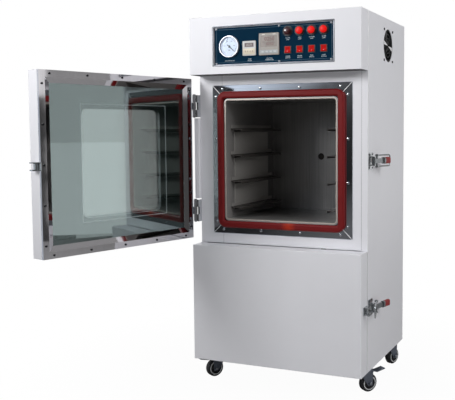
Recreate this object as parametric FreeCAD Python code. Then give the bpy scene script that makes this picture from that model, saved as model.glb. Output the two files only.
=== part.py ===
import FreeCAD, Part
import math
import os

# Vacuum drying oven on casters: cabinet, chamber with a glass door, instrument
# header and a pump bay behind a lower door. Millimetres, +Z up, front faces -Y,
# origin on the floor under the middle of the cabinet body.

V = FreeCAD.Vector
X_AXIS = V(1, 0, 0)
Y_AXIS = V(0, 1, 0)
Z_AXIS = V(0, 0, 1)

# Cabinet
cabinet_width = 620.0
cabinet_depth = 462.0
body_height = 1195.0
floor_gap = 90.0
sheet = 1.5
header_height = 193.0
header_depth = 70.0
hinge_side_return = 88.0
edge_return = 20.0
rear_return = 18.0
seam_gap = 0.8
cover_gap = 0.3
panel_lap = 14.0
slot_width = 150.0
slot_height = 5.0
slot_pitch = 17.0
slot_count = 5
slot_bank_pitch = 300.0
hood_overlap = 4.0
cable_inset = 60.0
cable_radius = 8.0

# Pump bay
pump_door_height = 409.0
stiffener_end_gap = 60.0
pump_door_depth = 64.0
pump_door_gap = 2.0
pump_pivot_inset_x = 7.0
pump_pivot_inset_y = 12.0
pump_pin_radius = 3.0
pump_pin_fit = 0.06
pan_thickness = 2.0
pan_lip = 25.0
pump_motor_radius = 68.0
pump_end_space = 45.0
pump_case_length = 150.0
pump_case_height = 185.0
pump_case_width = 150.0
pump_rail = 12.0
pump_box_start = 50.0
pump_box_end = 120.0
pump_box_half = 34.0
pump_foot_start = 90.0
pump_foot_end = 130.0
pump_foot_half = 64.0
pump_fin_pitch = 34.0
pump_port_place = 40.0
pump_sight_place = 40.0
pump_sight_rise = 60.0
pump_pipe_rise = 60.0

# Chamber
chamber_side_space = 106.0
chamber_height = 414.0
chamber_rear_space = 67.0
chamber_wall = 4.0
chamber_corner = 9.0
chamber_rise = 707.0
mouth_stand_out = 9.0
lip_width = 3.0
lip_thickness = 3.0
rib_count = 3
rib_pitch = 110.0
rib_height = 20.0
rib_thickness = 6.0
port_radius = 13.0
flange_width = 518.0
flange_height = 521.0
flange_thickness = 3.0
gasket_clearance = 1.5
gasket_width = 24.0
gasket_corner = 19.0
soft_clearance = 0.3
rail_pitch = 92.5
rail_count = 4
rail_first = -170.0
rail_end_gap = 25.0
rail_angle = 14.0
rail_ledge = 42.0
rail_lip = 8.0
rail_plate = 2.0
rail_sheet_inset = 30.0
rail_sheet_end = 10.0
heater_thickness = 2.5
heater_margin = 40.0
insulation_thickness = 40.0
cradle_thickness = 4.0
cradle_spacing = 300.0

# Instruments
panel_width = 436.0
panel_height = 130.0
panel_thickness = 2.0
panel_recess = 7.0
panel_ledge = 15.0
panel_fit = 0.4
gauge_place = -0.3624
gauge_z = -2.0
gauge_radius = 37.0
gauge_body_radius = 29.0
gauge_body_length = 32.0
gauge_stand_out = 9.0
gauge_bezel = 3.5
gauge_pin_radius = 1.2
gauge_glass_thickness = 1.5
dial_depth = 2.5
dial_thickness = 1.0
needle_rest_angle = -40.0
timer_place = -0.1904
timer_z = -11.0
timer_size = 48.0
controller_place = -0.0241
controller_size = 72.0
module_bezel = 5.0
module_depth = 60.0
key_width = 9.0
key_height = 5.5
key_stand_out = 1.2
key_travel = 0.8
key_count = 4
key_pitch = 14.5
column_first_place = 0.1284
column_pitch_share = 0.0963
column_count = 4
lamp_z = 38.5
lamp_radius = 14.0
lamp_body_radius = 11.0
lamp_body_length = 32.0
lens_proud = 9.0
rocker_z = -22.0
rocker_frame = 25.0
rocker_width = 19.0
rocker_height = 20.0
rocker_tilt = 6.0
switch_depth = 24.0
rocker_gap = 0.8
rocker_pin_radius = 1.5
small_fit = 0.05

# Cooling fan
fan_y = 9.0
fan_z_below_top = 92.0
fan_size = 120.0
fan_depth = 25.0
fan_opening = 113.0
fan_hub_radius = 19.0
fan_blade_count = 7
fan_tip_gap = 2.0
guard_wire = 1.0
guard_ring_count = 4

# Oven door
door_side_gap = 2.0
door_height = 561.0
door_thickness = 54.0
door_stand_off = 12.0
door_rise = 430.0
door_open_angle = 105.7
door_band = 21.0
door_bevel = 17.0
door_frame_thickness = 8.0
glass_recess = 7.0
glass_thickness = 12.0
glass_lap = 9.0
window_width = 325.0
window_height = 345.0
window_shift = -18.0
window_corner = 22.0
window_rim = 10.0
window_pane = 5.0
door_screw_inset = 10.5
hinge_inset = 95.0
hinge_length = 78.0
hinge_axis_out = 15.0
hinge_axis_ahead = 17.0
knuckle_radius = 7.0
hinge_pin_radius = 4.0
hinge_fit = 0.05
hinge_gap = 0.4
hinge_wing = 8.0
hinge_wing_length = 42.0

# Latches
latch_z_upper = 707.0
latch_z_lower = 218.0
latch_plate_length = 46.0
latch_plate_height = 56.0
latch_plate_thickness = 3.0
latch_behind_edge = 5.0
latch_pivot_out = 13.0
latch_ear_gap = 24.0
latch_ear_thickness = 3.0
latch_pin_radius = 3.0
lever_length = 102.0
lever_angle = 13.0
bail_pivot_radius = 20.0
bail_length = 88.0
bail_wire = 2.5
bail_spread = 37.0
bail_release_angle = 14.0
keeper_height = 17.0
keeper_width = 26.0
keeper_plate = 3.0

# Casters
caster_inset_x = 45.0
caster_inset_y = 62.0
caster_plate_length = 72.0
caster_plate_width = 56.0
caster_plate_thickness = 3.0
wheel_radius = 31.5
wheel_width = 26.0
caster_trail = 33.0
fork_thickness = 3.0
fork_side_gap = 1.2
fork_head_radius = 24.0
axle_radius = 4.0
king_pin_radius = 6.0
running_fit = 0.05
race_gap = 0.4
front_right_heading = 50.0
front_left_heading = -125.0
rear_right_heading = 70.0
rear_left_heading = 110.0
pedal_length = 62.0
pedal_rise = 10.0
pedal_pivot_radius = 2.5

# Derived places
side_x = cabinet_width / 2
door_width = cabinet_width - 2 * door_side_gap
pump_motor_length = side_x - pump_case_length / 2 - pump_end_space
chamber_width = cabinet_width - 2 * chamber_side_space
chamber_depth = cabinet_depth - chamber_rear_space
rail_length = chamber_depth - 2 * rail_end_gap
gauge_x = gauge_place * panel_width
timer_x = timer_place * panel_width
controller_x = controller_place * panel_width
column_first_x = column_first_place * panel_width
column_pitch = column_pitch_share * panel_width
front_y = -cabinet_depth / 2
rear_y = cabinet_depth / 2
top_z = floor_gap + body_height
header_z = top_z - header_height
header_y = front_y - header_depth
pump_top_z = floor_gap + pump_door_height + pump_door_gap
pump_door_back = front_y - pump_door_gap
pump_door_front = pump_door_back - pump_door_depth
chamber_z = floor_gap + chamber_rise
mouth_y = front_y - mouth_stand_out
chamber_back = front_y + chamber_depth
panel_z = header_z + header_height / 2 - 3.5
panel_face = header_y + panel_recess
panel_back = panel_face + panel_thickness
door_inner_y = front_y - door_stand_off
door_outer_y = door_inner_y - door_thickness
door_z = floor_gap + door_rise + door_height / 2
door_bottom = door_z - door_height / 2
door_top = door_z + door_height / 2
glass_face = door_inner_y - glass_recess
hinge_x = -side_x - hinge_axis_out
hinge_y = front_y - hinge_axis_ahead
fan_z = top_z - fan_z_below_top
deck_z = chamber_z + chamber_height / 2 + chamber_wall + rib_height + insulation_thickness


def block(x0, x1, y0, y1, z0, z1):
    """Box between two corners."""
    return Part.makeBox(x1 - x0, y1 - y0, z1 - z0, V(x0, y0, z0))


def rod(centre, radius, length, axis):
    """Cylinder whose middle is at centre."""
    return Part.makeCylinder(radius, length, centre - axis * (length / 2), axis)


def fused(solids):
    """Join overlapping or touching solids into one."""
    return solids[0].multiFuse(solids[1:]).removeSplitter()


def less(solid, tools):
    """Take several tools out of one solid."""
    return solid.cut(Part.makeCompound(tools))


def slab(width, height, corner, y0, y1, x=0.0, z=0.0):
    """Plate that faces Y, with its four corners rounded."""
    plate = block(x - width / 2, x + width / 2, y0, y1, z - height / 2, z + height / 2)
    if corner <= 0:
        return plate
    edges = [edge for edge in plate.Edges if is_along(edge, Y_AXIS)]
    return plate.makeFillet(corner, edges)


def is_along(edge, axis):
    """Whether a straight edge runs along an axis."""
    run = edge.Vertexes[-1].Point - edge.Vertexes[0].Point
    return run.cross(axis).Length < 0.001 and run.Length > 0.001


def softened(solid, radius, axis):
    """Round the edges of a solid that run along one axis."""
    return solid.makeFillet(radius, [edge for edge in solid.Edges if is_along(edge, axis)])


def rectangle_wire(width, height, y, x, z):
    """Closed rectangle in the plane at y."""
    corners = [
        V(x - width / 2, y, z - height / 2),
        V(x + width / 2, y, z - height / 2),
        V(x + width / 2, y, z + height / 2),
        V(x - width / 2, y, z + height / 2),
    ]
    return Part.makePolygon(corners + corners[:1])


def frustum(width0, height0, y0, width1, height1, y1, z):
    """Four-sided taper between two rectangles that face Y."""
    wires = [rectangle_wire(width0, height0, y0, 0, z), rectangle_wire(width1, height1, y1, 0, z)]
    return Part.makeLoft(wires, True, True)


def prism(points, run):
    """Straight extrusion of a closed outline."""
    outline = [V(*point) for point in points]
    return Part.Face(Part.makePolygon(outline + outline[:1])).extrude(run)


def turned(profile, centre, axis):
    """Revolve a profile of (radius, distance along the axis) pairs."""
    points = [V(radius, 0, along) for radius, along in profile]
    face = Part.Face(Part.makePolygon(points + points[:1]))
    solid = face.revolve(V(0, 0, 0), Z_AXIS, 360)
    solid.Placement = FreeCAD.Placement(centre, FreeCAD.Rotation(Z_AXIS, axis))
    return solid


def pipe(points, radius, bend):
    """Round bar along straight runs joined by bends of one radius."""
    path = [V(*point) for point in points]
    edges = []
    start = path[0]
    for before, corner, after in zip(path, path[1:], path[2:]):
        inward = (before - corner).normalize()
        onward = (after - corner).normalize()
        half = inward.getAngle(onward) / 2
        set_back = bend / math.tan(half)
        first = corner + inward * set_back
        last = corner + onward * set_back
        middle_way = (inward + onward).normalize()
        middle = corner + middle_way * (bend / math.sin(half) - bend)
        edges.append(Part.makeLine(start, first))
        edges.append(Part.Arc(first, middle, last).toShape())
        start = last
    edges.append(Part.makeLine(start, path[-1]))
    wire = Part.Wire(edges)
    section = Part.Wire([Part.makeCircle(radius, path[0], path[1] - path[0])])
    return wire.makePipeShell([section], True, False)


def turned_about(shape, centre, axis, degrees):
    """Copy of a shape turned about a line."""
    copy = shape.copy()
    copy.rotate(centre, axis, degrees)
    return copy


def on_open_door(shape):
    """Swing a piece of the closed door to its stored open place."""
    return turned_about(shape, V(hinge_x, hinge_y, 0), Z_AXIS, -door_open_angle)


def spread(count, pitch):
    """Evenly spaced offsets about zero."""
    return [(index - (count - 1) / 2) * pitch for index in range(count)]


def column_xs():
    """X places of the lamp and switch columns."""
    return [column_first_x + index * column_pitch for index in range(column_count)]


def cabinet_shell():
    """Folded wrap of left side, top and right side with its returns."""
    wrap = block(-side_x, side_x, front_y, rear_y, floor_gap, top_z)
    room = block(-side_x + sheet, side_x - sheet, front_y - 1, rear_y + 1, floor_gap - 1, top_z - sheet)
    pieces = [wrap.cut(room)]
    front = (front_y, front_y + sheet)
    pieces.append(block(-side_x, -side_x + hinge_side_return, *front, pump_top_z, header_z))
    pieces.append(block(side_x - edge_return, side_x, *front, pump_top_z, header_z))
    rear = (rear_y - 2 * sheet, rear_y - sheet)
    for side in (-1, 1):
        low, high = sorted((side * side_x, side * (side_x - edge_return)))
        pieces.append(block(low, high, *front, header_z, top_z))
        pieces.append(block(low, high, *front, floor_gap, pump_top_z))
        low, high = sorted((side * side_x, side * (side_x - rear_return)))
        pieces.append(block(low, high, *rear, floor_gap, top_z))
    pieces.append(block(-side_x, side_x, *front, top_z - edge_return, top_z))
    pieces.append(block(-side_x, side_x, *rear, top_z - rear_return, top_z))
    holes = [rod(V(side_x, fan_y, fan_z), fan_opening / 2, 4 * sheet, X_AXIS)]
    return less(fused(pieces), holes)


def front_panel():
    """Middle front sheet round the chamber mouth, lapped behind the returns."""
    left = -side_x + hinge_side_return
    right = side_x - edge_return
    low = pump_top_z
    high = header_z
    behind = front_y + sheet
    plate = block(left + seam_gap, right - seam_gap, front_y, behind, low, high)
    backing = block(left - panel_lap, right + panel_lap * 0.9, behind, behind + sheet, low, high)
    sheet_pair = plate.fuse(backing).removeSplitter()
    opening = slab(
        chamber_width + 2 * (chamber_wall + cover_gap),
        chamber_height + 2 * (chamber_wall + cover_gap),
        chamber_corner + chamber_wall + cover_gap,
        front_y - 1,
        behind + sheet + 1,
        z=chamber_z,
    )
    return sheet_pair.cut(opening)


def louvre(x, z, width):
    """Pressed hood over one vent slot of the rear panel."""
    depth = 6.0
    rise = 8.0
    profile = [
        (x - width / 2, rear_y, z + rise),
        (x - width / 2, rear_y + depth, z - rise * 0.2),
        (x - width / 2, rear_y + depth, z - rise * 0.4),
        (x - width / 2, rear_y, z + rise * 0.75),
    ]
    return prism(profile, V(width, 0, 0))


def rear_panel():
    """Rear sheet with two banks of hooded vents and the cable entry."""
    half = side_x - sheet - cover_gap
    low = floor_gap + pan_lip
    plate = block(-half, half, rear_y - sheet, rear_y, low, top_z - sheet - cover_gap)
    hoods = []
    slots = []
    for bank_z in (floor_gap + pump_door_height * 0.55, fan_z):
        for x in spread(2, slot_bank_pitch):
            for offset in spread(slot_count, slot_pitch):
                z = bank_z + offset
                slots.append(block(
                    x - slot_width / 2, x + slot_width / 2, rear_y - 5, rear_y + 1, z, z + slot_height,
                ))
                hoods.append(louvre(x, z, slot_width + 2 * hood_overlap))
    entry = rod(V(-side_x + cable_inset, rear_y, floor_gap + cable_inset), cable_radius, 8 * sheet, Y_AXIS)
    return fused([less(plate, slots + [entry])] + hoods)


def inner_frame():
    """Floor pan, chamber deck with its cradle, and instrument deck."""
    half = side_x - sheet
    rear = rear_y - 2 * sheet
    front = front_y + sheet
    floor = floor_gap
    pan = block(-half, half, front, rear, floor, floor + pan_lip)
    hollow = block(
        -half + pan_thickness, half - pan_thickness, front + pan_thickness, rear - pan_thickness,
        floor + pan_thickness, floor + pan_lip + 1,
    )
    pan = pan.cut(hollow)
    front = front_y + 2 * sheet
    deck_low = pump_top_z + pan_lip
    chamber_deck = block(-half, half, front, rear, pump_top_z, deck_low)
    under = block(
        -half + pan_thickness, half - pan_thickness, front + pan_thickness, rear - pan_thickness,
        pump_top_z - 1, deck_low - pan_thickness,
    )
    cradle_top = chamber_z - chamber_height / 2 - chamber_wall - rib_height
    legs = [cradle_leg(x, deck_low, cradle_top) for x in spread(2, cradle_spacing)]
    pipe_hole = rod(V(0, pipe_y(), deck_low), 16.0, 4 * pan_lip, Z_AXIS)
    chamber_deck = less(fused([chamber_deck.cut(under)] + legs), [pipe_hole])
    top_deck = block(-half, half, front, rear, deck_z, deck_z + pan_thickness)
    lips = [
        block(x, x + pan_thickness, front, rear, deck_z, deck_z + pan_lip)
        for x in (-half, half - pan_thickness)
    ]
    tube_hole = rod(V(gauge_x, gauge_tube_y(), deck_z), 5.0, 20, Z_AXIS)
    top_deck = less(fused([top_deck] + lips), [tube_hole])
    return Part.makeCompound([pan, chamber_deck, top_deck])


def cradle_leg(x, low, high):
    """Channel that carries the chamber's ribs above the deck."""
    run = rib_pitch * (rib_count - 1) + 4 * rib_thickness
    middle = rib_middle_y()
    half = cradle_thickness / 2
    web = block(x - half, x + half, middle - run / 2, middle + run / 2, low, high)
    foot = block(x - 15, x + 15, middle - run / 2, middle + run / 2, low, low + cradle_thickness)
    head = block(x - 15, x + 15, middle - run / 2, middle + run / 2, high - cradle_thickness, high)
    return fused([web, foot, head])


def rib_middle_y():
    """Middle of the rib pattern along the chamber."""
    return front_y + chamber_depth / 2


def pipe_y():
    """Plane of the vacuum pipe behind the chamber."""
    return chamber_back + chamber_wall + 22.0


def gauge_tube_y():
    """Plane of the gauge's capillary tube."""
    return rib_middle_y() - rib_pitch / 2


def chamber_body(growth, y0, y1):
    """Rounded block round the chamber's section, grown outwards."""
    return slab(
        chamber_width + 2 * growth,
        chamber_height + 2 * growth,
        chamber_corner + growth,
        y0,
        y1,
        z=chamber_z,
    )


def chamber():
    """Welded stainless chamber with a mouth lip, pressure ribs and a rear port."""
    outer = chamber_body(chamber_wall, mouth_y, chamber_back + chamber_wall)
    lip = chamber_body(chamber_wall + lip_width, mouth_y, mouth_y + lip_thickness)
    pieces = [outer, lip]
    for offset in spread(rib_count, rib_pitch):
        y = rib_middle_y() + offset
        pieces.append(chamber_body(chamber_wall + rib_height, y - rib_thickness / 2, y + rib_thickness / 2))
    body = fused(pieces)
    room = chamber_body(0, mouth_y - 1, chamber_back)
    port = rod(V(0, chamber_back + chamber_wall, chamber_z), port_radius, 4 * chamber_wall, Y_AXIS)
    tube_hole = rod(V(gauge_x, gauge_tube_y(), gauge_tube_low()), 3.0, 4 * chamber_wall, Z_AXIS)
    return less(body, [room, port, tube_hole])


def gauge_tube_low():
    """Height of the chamber's roof, where the capillary tube enters."""
    return chamber_z + chamber_height / 2 + chamber_wall / 2


def chamber_flange():
    """Polished trim frame screwed round the mouth."""
    plate = slab(flange_width, flange_height, 0, front_y - flange_thickness, front_y, z=chamber_z)
    front_edges = [
        edge for edge in plate.Edges
        if all(abs(vertex.Y - (front_y - flange_thickness)) < 0.01 for vertex in edge.Vertexes)
    ]
    plate = plate.makeChamfer(flange_thickness * 0.4, front_edges)
    opening = chamber_body(chamber_wall + cover_gap, front_y - flange_thickness - 1, front_y + 1)
    return plate.cut(opening)


def gasket():
    """Moulded seal round the mouth that meets the door glass."""
    seat = front_y - flange_thickness - soft_clearance
    face = glass_face + soft_clearance
    inner_growth = chamber_wall + lip_width + gasket_clearance - 1.0
    outer_growth = inner_growth + gasket_width
    ring = slab(
        chamber_width + 2 * outer_growth, chamber_height + 2 * outer_growth,
        chamber_corner + gasket_corner, face, seat, z=chamber_z,
    )
    ring = ring.cut(chamber_body(inner_growth, face - 1, seat + 1))
    front_edges = [
        edge for edge in ring.Edges
        if all(abs(vertex.Y - face) < 0.01 for vertex in edge.Vertexes)
    ]
    return ring.makeChamfer(2.0, front_edges)


def shelf_rails():
    """Rack of lipped ledges on a hung sheet, on each side wall."""
    return Part.makeCompound([rail_side(-1), rail_side(1)])


def rail_side(side):
    """One side's rack, standing against the chamber wall."""
    wall = side * chamber_width / 2
    mid_y = front_y + chamber_depth / 2
    heights = [chamber_z + rail_first + index * rail_pitch for index in range(rail_count)]
    low = heights[0] - rail_sheet_end
    high = heights[-1] + rail_sheet_end
    free_edge = rail_plate + rail_ledge

    def bar(depth0, depth1, length, z0, z1):
        ends = sorted((wall - side * depth0, wall - side * depth1))
        return block(ends[0], ends[1], mid_y - length / 2, mid_y + length / 2, z0, z1)

    pieces = [bar(0, rail_plate, rail_length - 2 * rail_sheet_inset, low, high)]
    for z in heights:
        pieces.append(bar(rail_plate, 2 * rail_plate, rail_length, z - rail_plate, z + rail_angle))
        pieces.append(bar(rail_plate, free_edge, rail_length, z - rail_plate, z))
        pieces.append(bar(free_edge - rail_plate, free_edge, rail_length, z - rail_lip, z))
    return fused(pieces)


def vacuum_line():
    """Rigid pipe from the rear port to the pump, and the gauge's capillary tube."""
    start = (0, chamber_back + chamber_wall, chamber_z)
    low_z = pump_port_z() + pump_pipe_rise
    points = [start, (0, pipe_y(), chamber_z), (0, pipe_y(), low_z)]
    points += [(0, pump_port_y(), low_z), (0, pump_port_y(), pump_port_z())]
    main = pipe(points, port_radius - 3, 14.0)
    weld_ring = rod(V(0, chamber_back + chamber_wall + 2, chamber_z), port_radius + 7, 4, Y_AXIS)
    main = main.fuse(weld_ring).removeSplitter()
    gauge_end = panel_back + gauge_body_length
    low = gauge_tube_low() + chamber_wall / 2
    points = [(gauge_x, gauge_tube_y(), low), (gauge_x, gauge_tube_y(), panel_z + gauge_z)]
    points.append((gauge_x, gauge_end, panel_z + gauge_z))
    capillary = pipe(points, 2.5, 15.0)
    return Part.makeCompound([main, capillary])


def insulation():
    """Mineral wool jacket round the chamber, clear of ribs, cradle and pipes."""
    inner = chamber_wall + rib_height + soft_clearance
    front = front_y + 2 * sheet + soft_clearance
    back = chamber_back + chamber_wall + insulation_thickness * 0.8
    low = pump_top_z + pan_lip + soft_clearance
    high = deck_z - soft_clearance
    half = side_x - sheet - 20.0
    jacket = block(-half, half, front, back, low, high)
    room = chamber_body(inner, front - 1, chamber_back + chamber_wall + soft_clearance)
    cuts = [room]
    run = rib_pitch * (rib_count - 1) + 4 * rib_thickness
    for x in spread(2, cradle_spacing):
        cuts.append(block(
            x - 16, x + 16, rib_middle_y() - run / 2 - 1, rib_middle_y() + run / 2 + 1, low - 1, chamber_z,
        ))
    cuts.append(block(-24, 24, chamber_back, back + 1, low - 1, chamber_z + 24))
    cuts.append(rod(V(gauge_x, gauge_tube_y(), high), 4.0, 3 * insulation_thickness, Z_AXIS))
    return less(jacket, cuts)


def heaters():
    """Heating mats bonded between the ribs on four chamber walls."""
    half_width = chamber_width / 2 + chamber_wall
    half_height = chamber_height / 2 + chamber_wall
    mat = rib_pitch - rib_thickness - 16.0
    solids = []
    for offset in spread(rib_count - 1, rib_pitch):
        y = rib_middle_y() + offset
        for side in (-1, 1):
            ends = sorted((side * half_width, side * (half_width + heater_thickness)))
            span = half_height - heater_margin
            solids.append(block(*ends, y - mat / 2, y + mat / 2, chamber_z - span, chamber_z + span))
            ends = sorted((side * half_height, side * (half_height + heater_thickness)))
            span = half_width - heater_margin - 30.0
            solids.append(
                block(-span * 0.8, span, y - mat / 2, y + mat / 2, chamber_z + ends[0], chamber_z + ends[1])
            )
    return Part.makeCompound(solids)


def pump_port_y():
    """Depth of the pump's intake."""
    return pump_port_place


def pump_port_z():
    """Top of the pump's intake flange."""
    return floor_gap + pan_thickness + pump_rail + pump_case_height + 26.0


def vacuum_pump():
    """Rotary vane pump: finned motor, oil case, sight glass and two rails."""
    base = floor_gap + pan_thickness
    axis_z = base + pump_rail + pump_motor_radius + 14.0
    y = pump_port_y()
    case_left = -pump_case_length / 2
    case_right = pump_case_length / 2
    case = block(
        case_left, case_right, y - pump_case_width / 2, y + pump_case_width / 2,
        base + pump_rail, base + pump_rail + pump_case_height,
    )
    case = softened(case, 12.0, X_AXIS)
    flange = block(
        case_right, case_right + 14, y - pump_case_width / 2 - 6, y + pump_case_width / 2 + 6,
        base + pump_rail, axis_z + pump_motor_radius + 6,
    )
    flange = softened(flange, 10.0, X_AXIS)
    profile = [(0, 0), (pump_motor_radius - 6, 0)]
    along = 20.0
    while along + pump_fin_pitch < pump_motor_length - 30:
        profile += [(pump_motor_radius - 6, along), (pump_motor_radius, along)]
        profile.append((pump_motor_radius, along + pump_fin_pitch * 0.4))
        profile.append((pump_motor_radius - 6, along + pump_fin_pitch * 0.4))
        along += pump_fin_pitch
    profile += [
        (pump_motor_radius - 6, pump_motor_length - 30),
        (pump_motor_radius - 2, pump_motor_length - 30),
        (pump_motor_radius - 2, pump_motor_length - 8),
        (pump_motor_radius - 12, pump_motor_length),
        (0, pump_motor_length),
    ]
    motor = turned(profile, V(case_right + 14, y, axis_z), X_AXIS)
    port = rod(V(0, y, pump_port_z() - 14), 14.0, 28, Z_AXIS)
    exhaust = rod(V(-45, y, pump_port_z() - 16), 17.0, 24, Z_AXIS)
    sight_z = base + pump_rail + pump_sight_rise
    sight = rod(V(-pump_sight_place, y - pump_case_width / 2, sight_z), 17.0, 10, Y_AXIS)
    terminal = block(
        case_right + pump_box_start, case_right + pump_box_end, y - pump_box_half, y + pump_box_half,
        axis_z + pump_motor_radius - 16, axis_z + pump_motor_radius + 26,
    )
    rails = []
    for side in (-1, 1):
        rail_y = y + side * (pump_case_width / 2 - 22)
        rails.append(block(
            case_left, case_right + pump_motor_length, rail_y - 12, rail_y + 12, base, base + pump_rail,
        ))
    motor_foot = block(
        case_right + pump_foot_start, case_right + pump_foot_end, y - pump_foot_half, y + pump_foot_half,
        base + pump_rail, axis_z - pump_motor_radius * 0.7,
    )
    return fused([case, flange, motor, port, exhaust, sight, terminal, motor_foot] + rails)


def header_box():
    """Header housing with a folded tray round the instrument panel."""
    box = block(-side_x, side_x, header_y, front_y, header_z, top_z)
    room = block(
        -side_x + sheet, side_x - sheet, header_y + sheet, front_y + 1, header_z + sheet, top_z - sheet,
    )
    body = box.cut(room)
    flanges = []
    for side in (-1, 1):
        low, high = sorted((side * side_x, side * (side_x - edge_return * 0.7)))
        flanges.append(block(low, high, front_y - sheet, front_y, header_z, top_z))
    tray_back = panel_back + sheet
    tray = slab(panel_width + 2 * sheet, panel_height + 2 * sheet, 0, header_y, tray_back, z=panel_z)
    body = fused([body, tray] + flanges)
    pocket = slab(panel_width, panel_height, 0, header_y - 1, panel_back, z=panel_z)
    through_width = panel_width - 2 * panel_ledge
    through_height = panel_height - 2 * panel_ledge
    through = slab(through_width, through_height, 0, header_y, tray_back + 1, z=panel_z)
    return less(body, [pocket, through])


def control_panel():
    """Instrument panel with a cut-out for each instrument."""
    plate_width = panel_width - 2 * panel_fit
    plate_height = panel_height - 2 * panel_fit
    plate = slab(plate_width, plate_height, 0, panel_face, panel_back, z=panel_z)
    y = panel_face
    cuts = [rod(V(gauge_x, y, panel_z + gauge_z), gauge_body_radius + cover_gap, 20, Y_AXIS)]
    timer_hole = timer_size - 3 + 2 * cover_gap
    cuts.append(slab(timer_hole, timer_hole, 0, y - 5, y + 5, timer_x, panel_z + timer_z))
    controller_hole = controller_size - 4 + 2 * cover_gap
    cuts.append(slab(controller_hole, controller_hole, 0, y - 5, y + 5, controller_x, panel_z))
    rocker_hole = rocker_frame - 2 + 2 * cover_gap
    for x in column_xs():
        cuts.append(rod(V(x, y, panel_z + lamp_z), lamp_body_radius + cover_gap, 20, Y_AXIS))
        cuts.append(slab(rocker_hole, rocker_hole, 0, y - 5, y + 5, x, panel_z + rocker_z))
    return less(plate, cuts)


def gauge_centre(y):
    """Point on the gauge's axis."""
    return V(gauge_x, y, panel_z + gauge_z)


def gauge_case():
    """Gauge housing with its rolled bezel and threaded stub."""
    front = gauge_stand_out
    inner = gauge_radius - gauge_bezel
    profile = [
        (0, 0),
        (gauge_body_radius, 0),
        (gauge_body_radius, gauge_body_length + panel_thickness),
        (gauge_radius, gauge_body_length + panel_thickness),
        (gauge_radius, gauge_body_length + panel_thickness + front * 0.6),
        (gauge_radius - 1.2, gauge_body_length + panel_thickness + front),
        (inner, gauge_body_length + panel_thickness + front),
        (inner, gauge_body_length + panel_thickness + front - dial_depth - gauge_glass_thickness - 2.5),
        (0, gauge_body_length + panel_thickness + front - dial_depth - gauge_glass_thickness - 2.5),
    ]
    case = turned(profile, gauge_centre(panel_back + gauge_body_length), V(0, -1, 0))
    spindle = rod(gauge_centre(dial_face()), gauge_pin_radius, 5.0, Y_AXIS)
    return case.fuse(spindle)


def dial_seat():
    """Plane that the dial lies on."""
    return panel_face - gauge_stand_out + dial_depth + gauge_glass_thickness + 2.5


def dial_face():
    """Front plane of the dial."""
    return dial_seat() - dial_thickness


def gauge_dial():
    """Dial plate."""
    radius = gauge_radius - gauge_bezel - small_fit * 4
    plate = rod(gauge_centre(dial_seat() - dial_thickness / 2), radius, dial_thickness, Y_AXIS)
    return plate.cut(rod(gauge_centre(dial_seat()), gauge_pin_radius + small_fit * 4, 8, Y_AXIS))


def gauge_needle():
    """Tapered pointer with a counterweight tail."""
    y0 = dial_face() - 1.6
    length = gauge_radius - gauge_bezel - 7
    points = [
        (-9, y0, -1.4), (-9, y0, 1.4), (0, y0, 1.6),
        (length, y0, 0.35), (length, y0, -0.35), (0, y0, -1.6),
    ]
    blade = prism(points, V(0, 0.8, 0))
    hub = rod(V(0, y0 + 0.4, 0), 4.0, 1.6, Y_AXIS)
    bore = rod(V(0, y0, 0), gauge_pin_radius + small_fit, 6, Y_AXIS)
    needle = blade.fuse(hub).cut(bore)
    needle.rotate(V(0, 0, 0), V(0, -1, 0), needle_rest_angle)
    needle.translate(V(gauge_x, 0, panel_z + gauge_z))
    return needle


def gauge_glass():
    """Flat lens of the gauge."""
    y = panel_face - gauge_stand_out + 0.6 + gauge_glass_thickness / 2
    return rod(gauge_centre(y), gauge_radius - gauge_bezel - small_fit, gauge_glass_thickness, Y_AXIS)


def module(size, x, z, neck):
    """Square instrument: front bezel and the body behind the panel."""
    front = slab(size, size, 2.5, panel_face - module_bezel, panel_face, x, z)
    body = slab(size - neck, size - neck, 0, panel_face, panel_face + module_depth, x, z)
    return front.fuse(body)


def timer_body():
    """Timer relay with a display recess and four preset wheel windows."""
    z = panel_z + timer_z
    body = module(timer_size, timer_x, z, 3)
    y = panel_face - module_bezel
    cuts = [slab(timer_size - 14, 14, 1.0, y - 1, y + 1.2, timer_x, z + 11)]
    for offset in spread(4, 8.6):
        cuts.append(slab(6.2, 9.5, 0.8, y - 1, y + 1.0, timer_x + offset, z - 9))
    return less(body, cuts)


def controller_window_z():
    """Height of the controller's display."""
    return panel_z + 9.0


def key_z():
    """Height of the controller's key row."""
    return panel_z - controller_size / 2 + 11.0


def controller_body():
    """Temperature controller with a display recess and key pockets."""
    body = module(controller_size, controller_x, panel_z, 4)
    y = panel_face - module_bezel
    window_z = controller_window_z()
    cuts = [slab(controller_size - 12, controller_size * 0.52, 1.5, y - 1, y + 1.2, controller_x, window_z)]
    for offset in spread(key_count, key_pitch):
        cuts.append(
            slab(
                key_width + 0.5, key_height + 0.5, 0, y - 1, y + key_travel + 1.8,
                controller_x + offset, key_z(),
            )
        )
    return less(body, cuts)


def controller_key(index):
    """One soft key of the controller."""
    y = panel_face - module_bezel
    offset = spread(key_count, key_pitch)[index]
    return slab(key_width, key_height, 1.2, y - key_stand_out, y + 1.4, controller_x + offset, key_z())


def lamp_bezels():
    """Threaded collars of the pilot lamps."""
    collars = []
    for x in column_xs():
        profile = [
            (0, 0),
            (lamp_body_radius, 0),
            (lamp_body_radius, lamp_body_length + panel_thickness),
            (lamp_radius, lamp_body_length + panel_thickness),
            (lamp_radius, lamp_body_length + panel_thickness + 2.5),
            (lamp_radius - 1.2, lamp_body_length + panel_thickness + 4),
            (0, lamp_body_length + panel_thickness + 4),
        ]
        collars.append(turned(profile, V(x, panel_back + lamp_body_length, panel_z + lamp_z), V(0, -1, 0)))
    return Part.makeCompound(collars)


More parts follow.
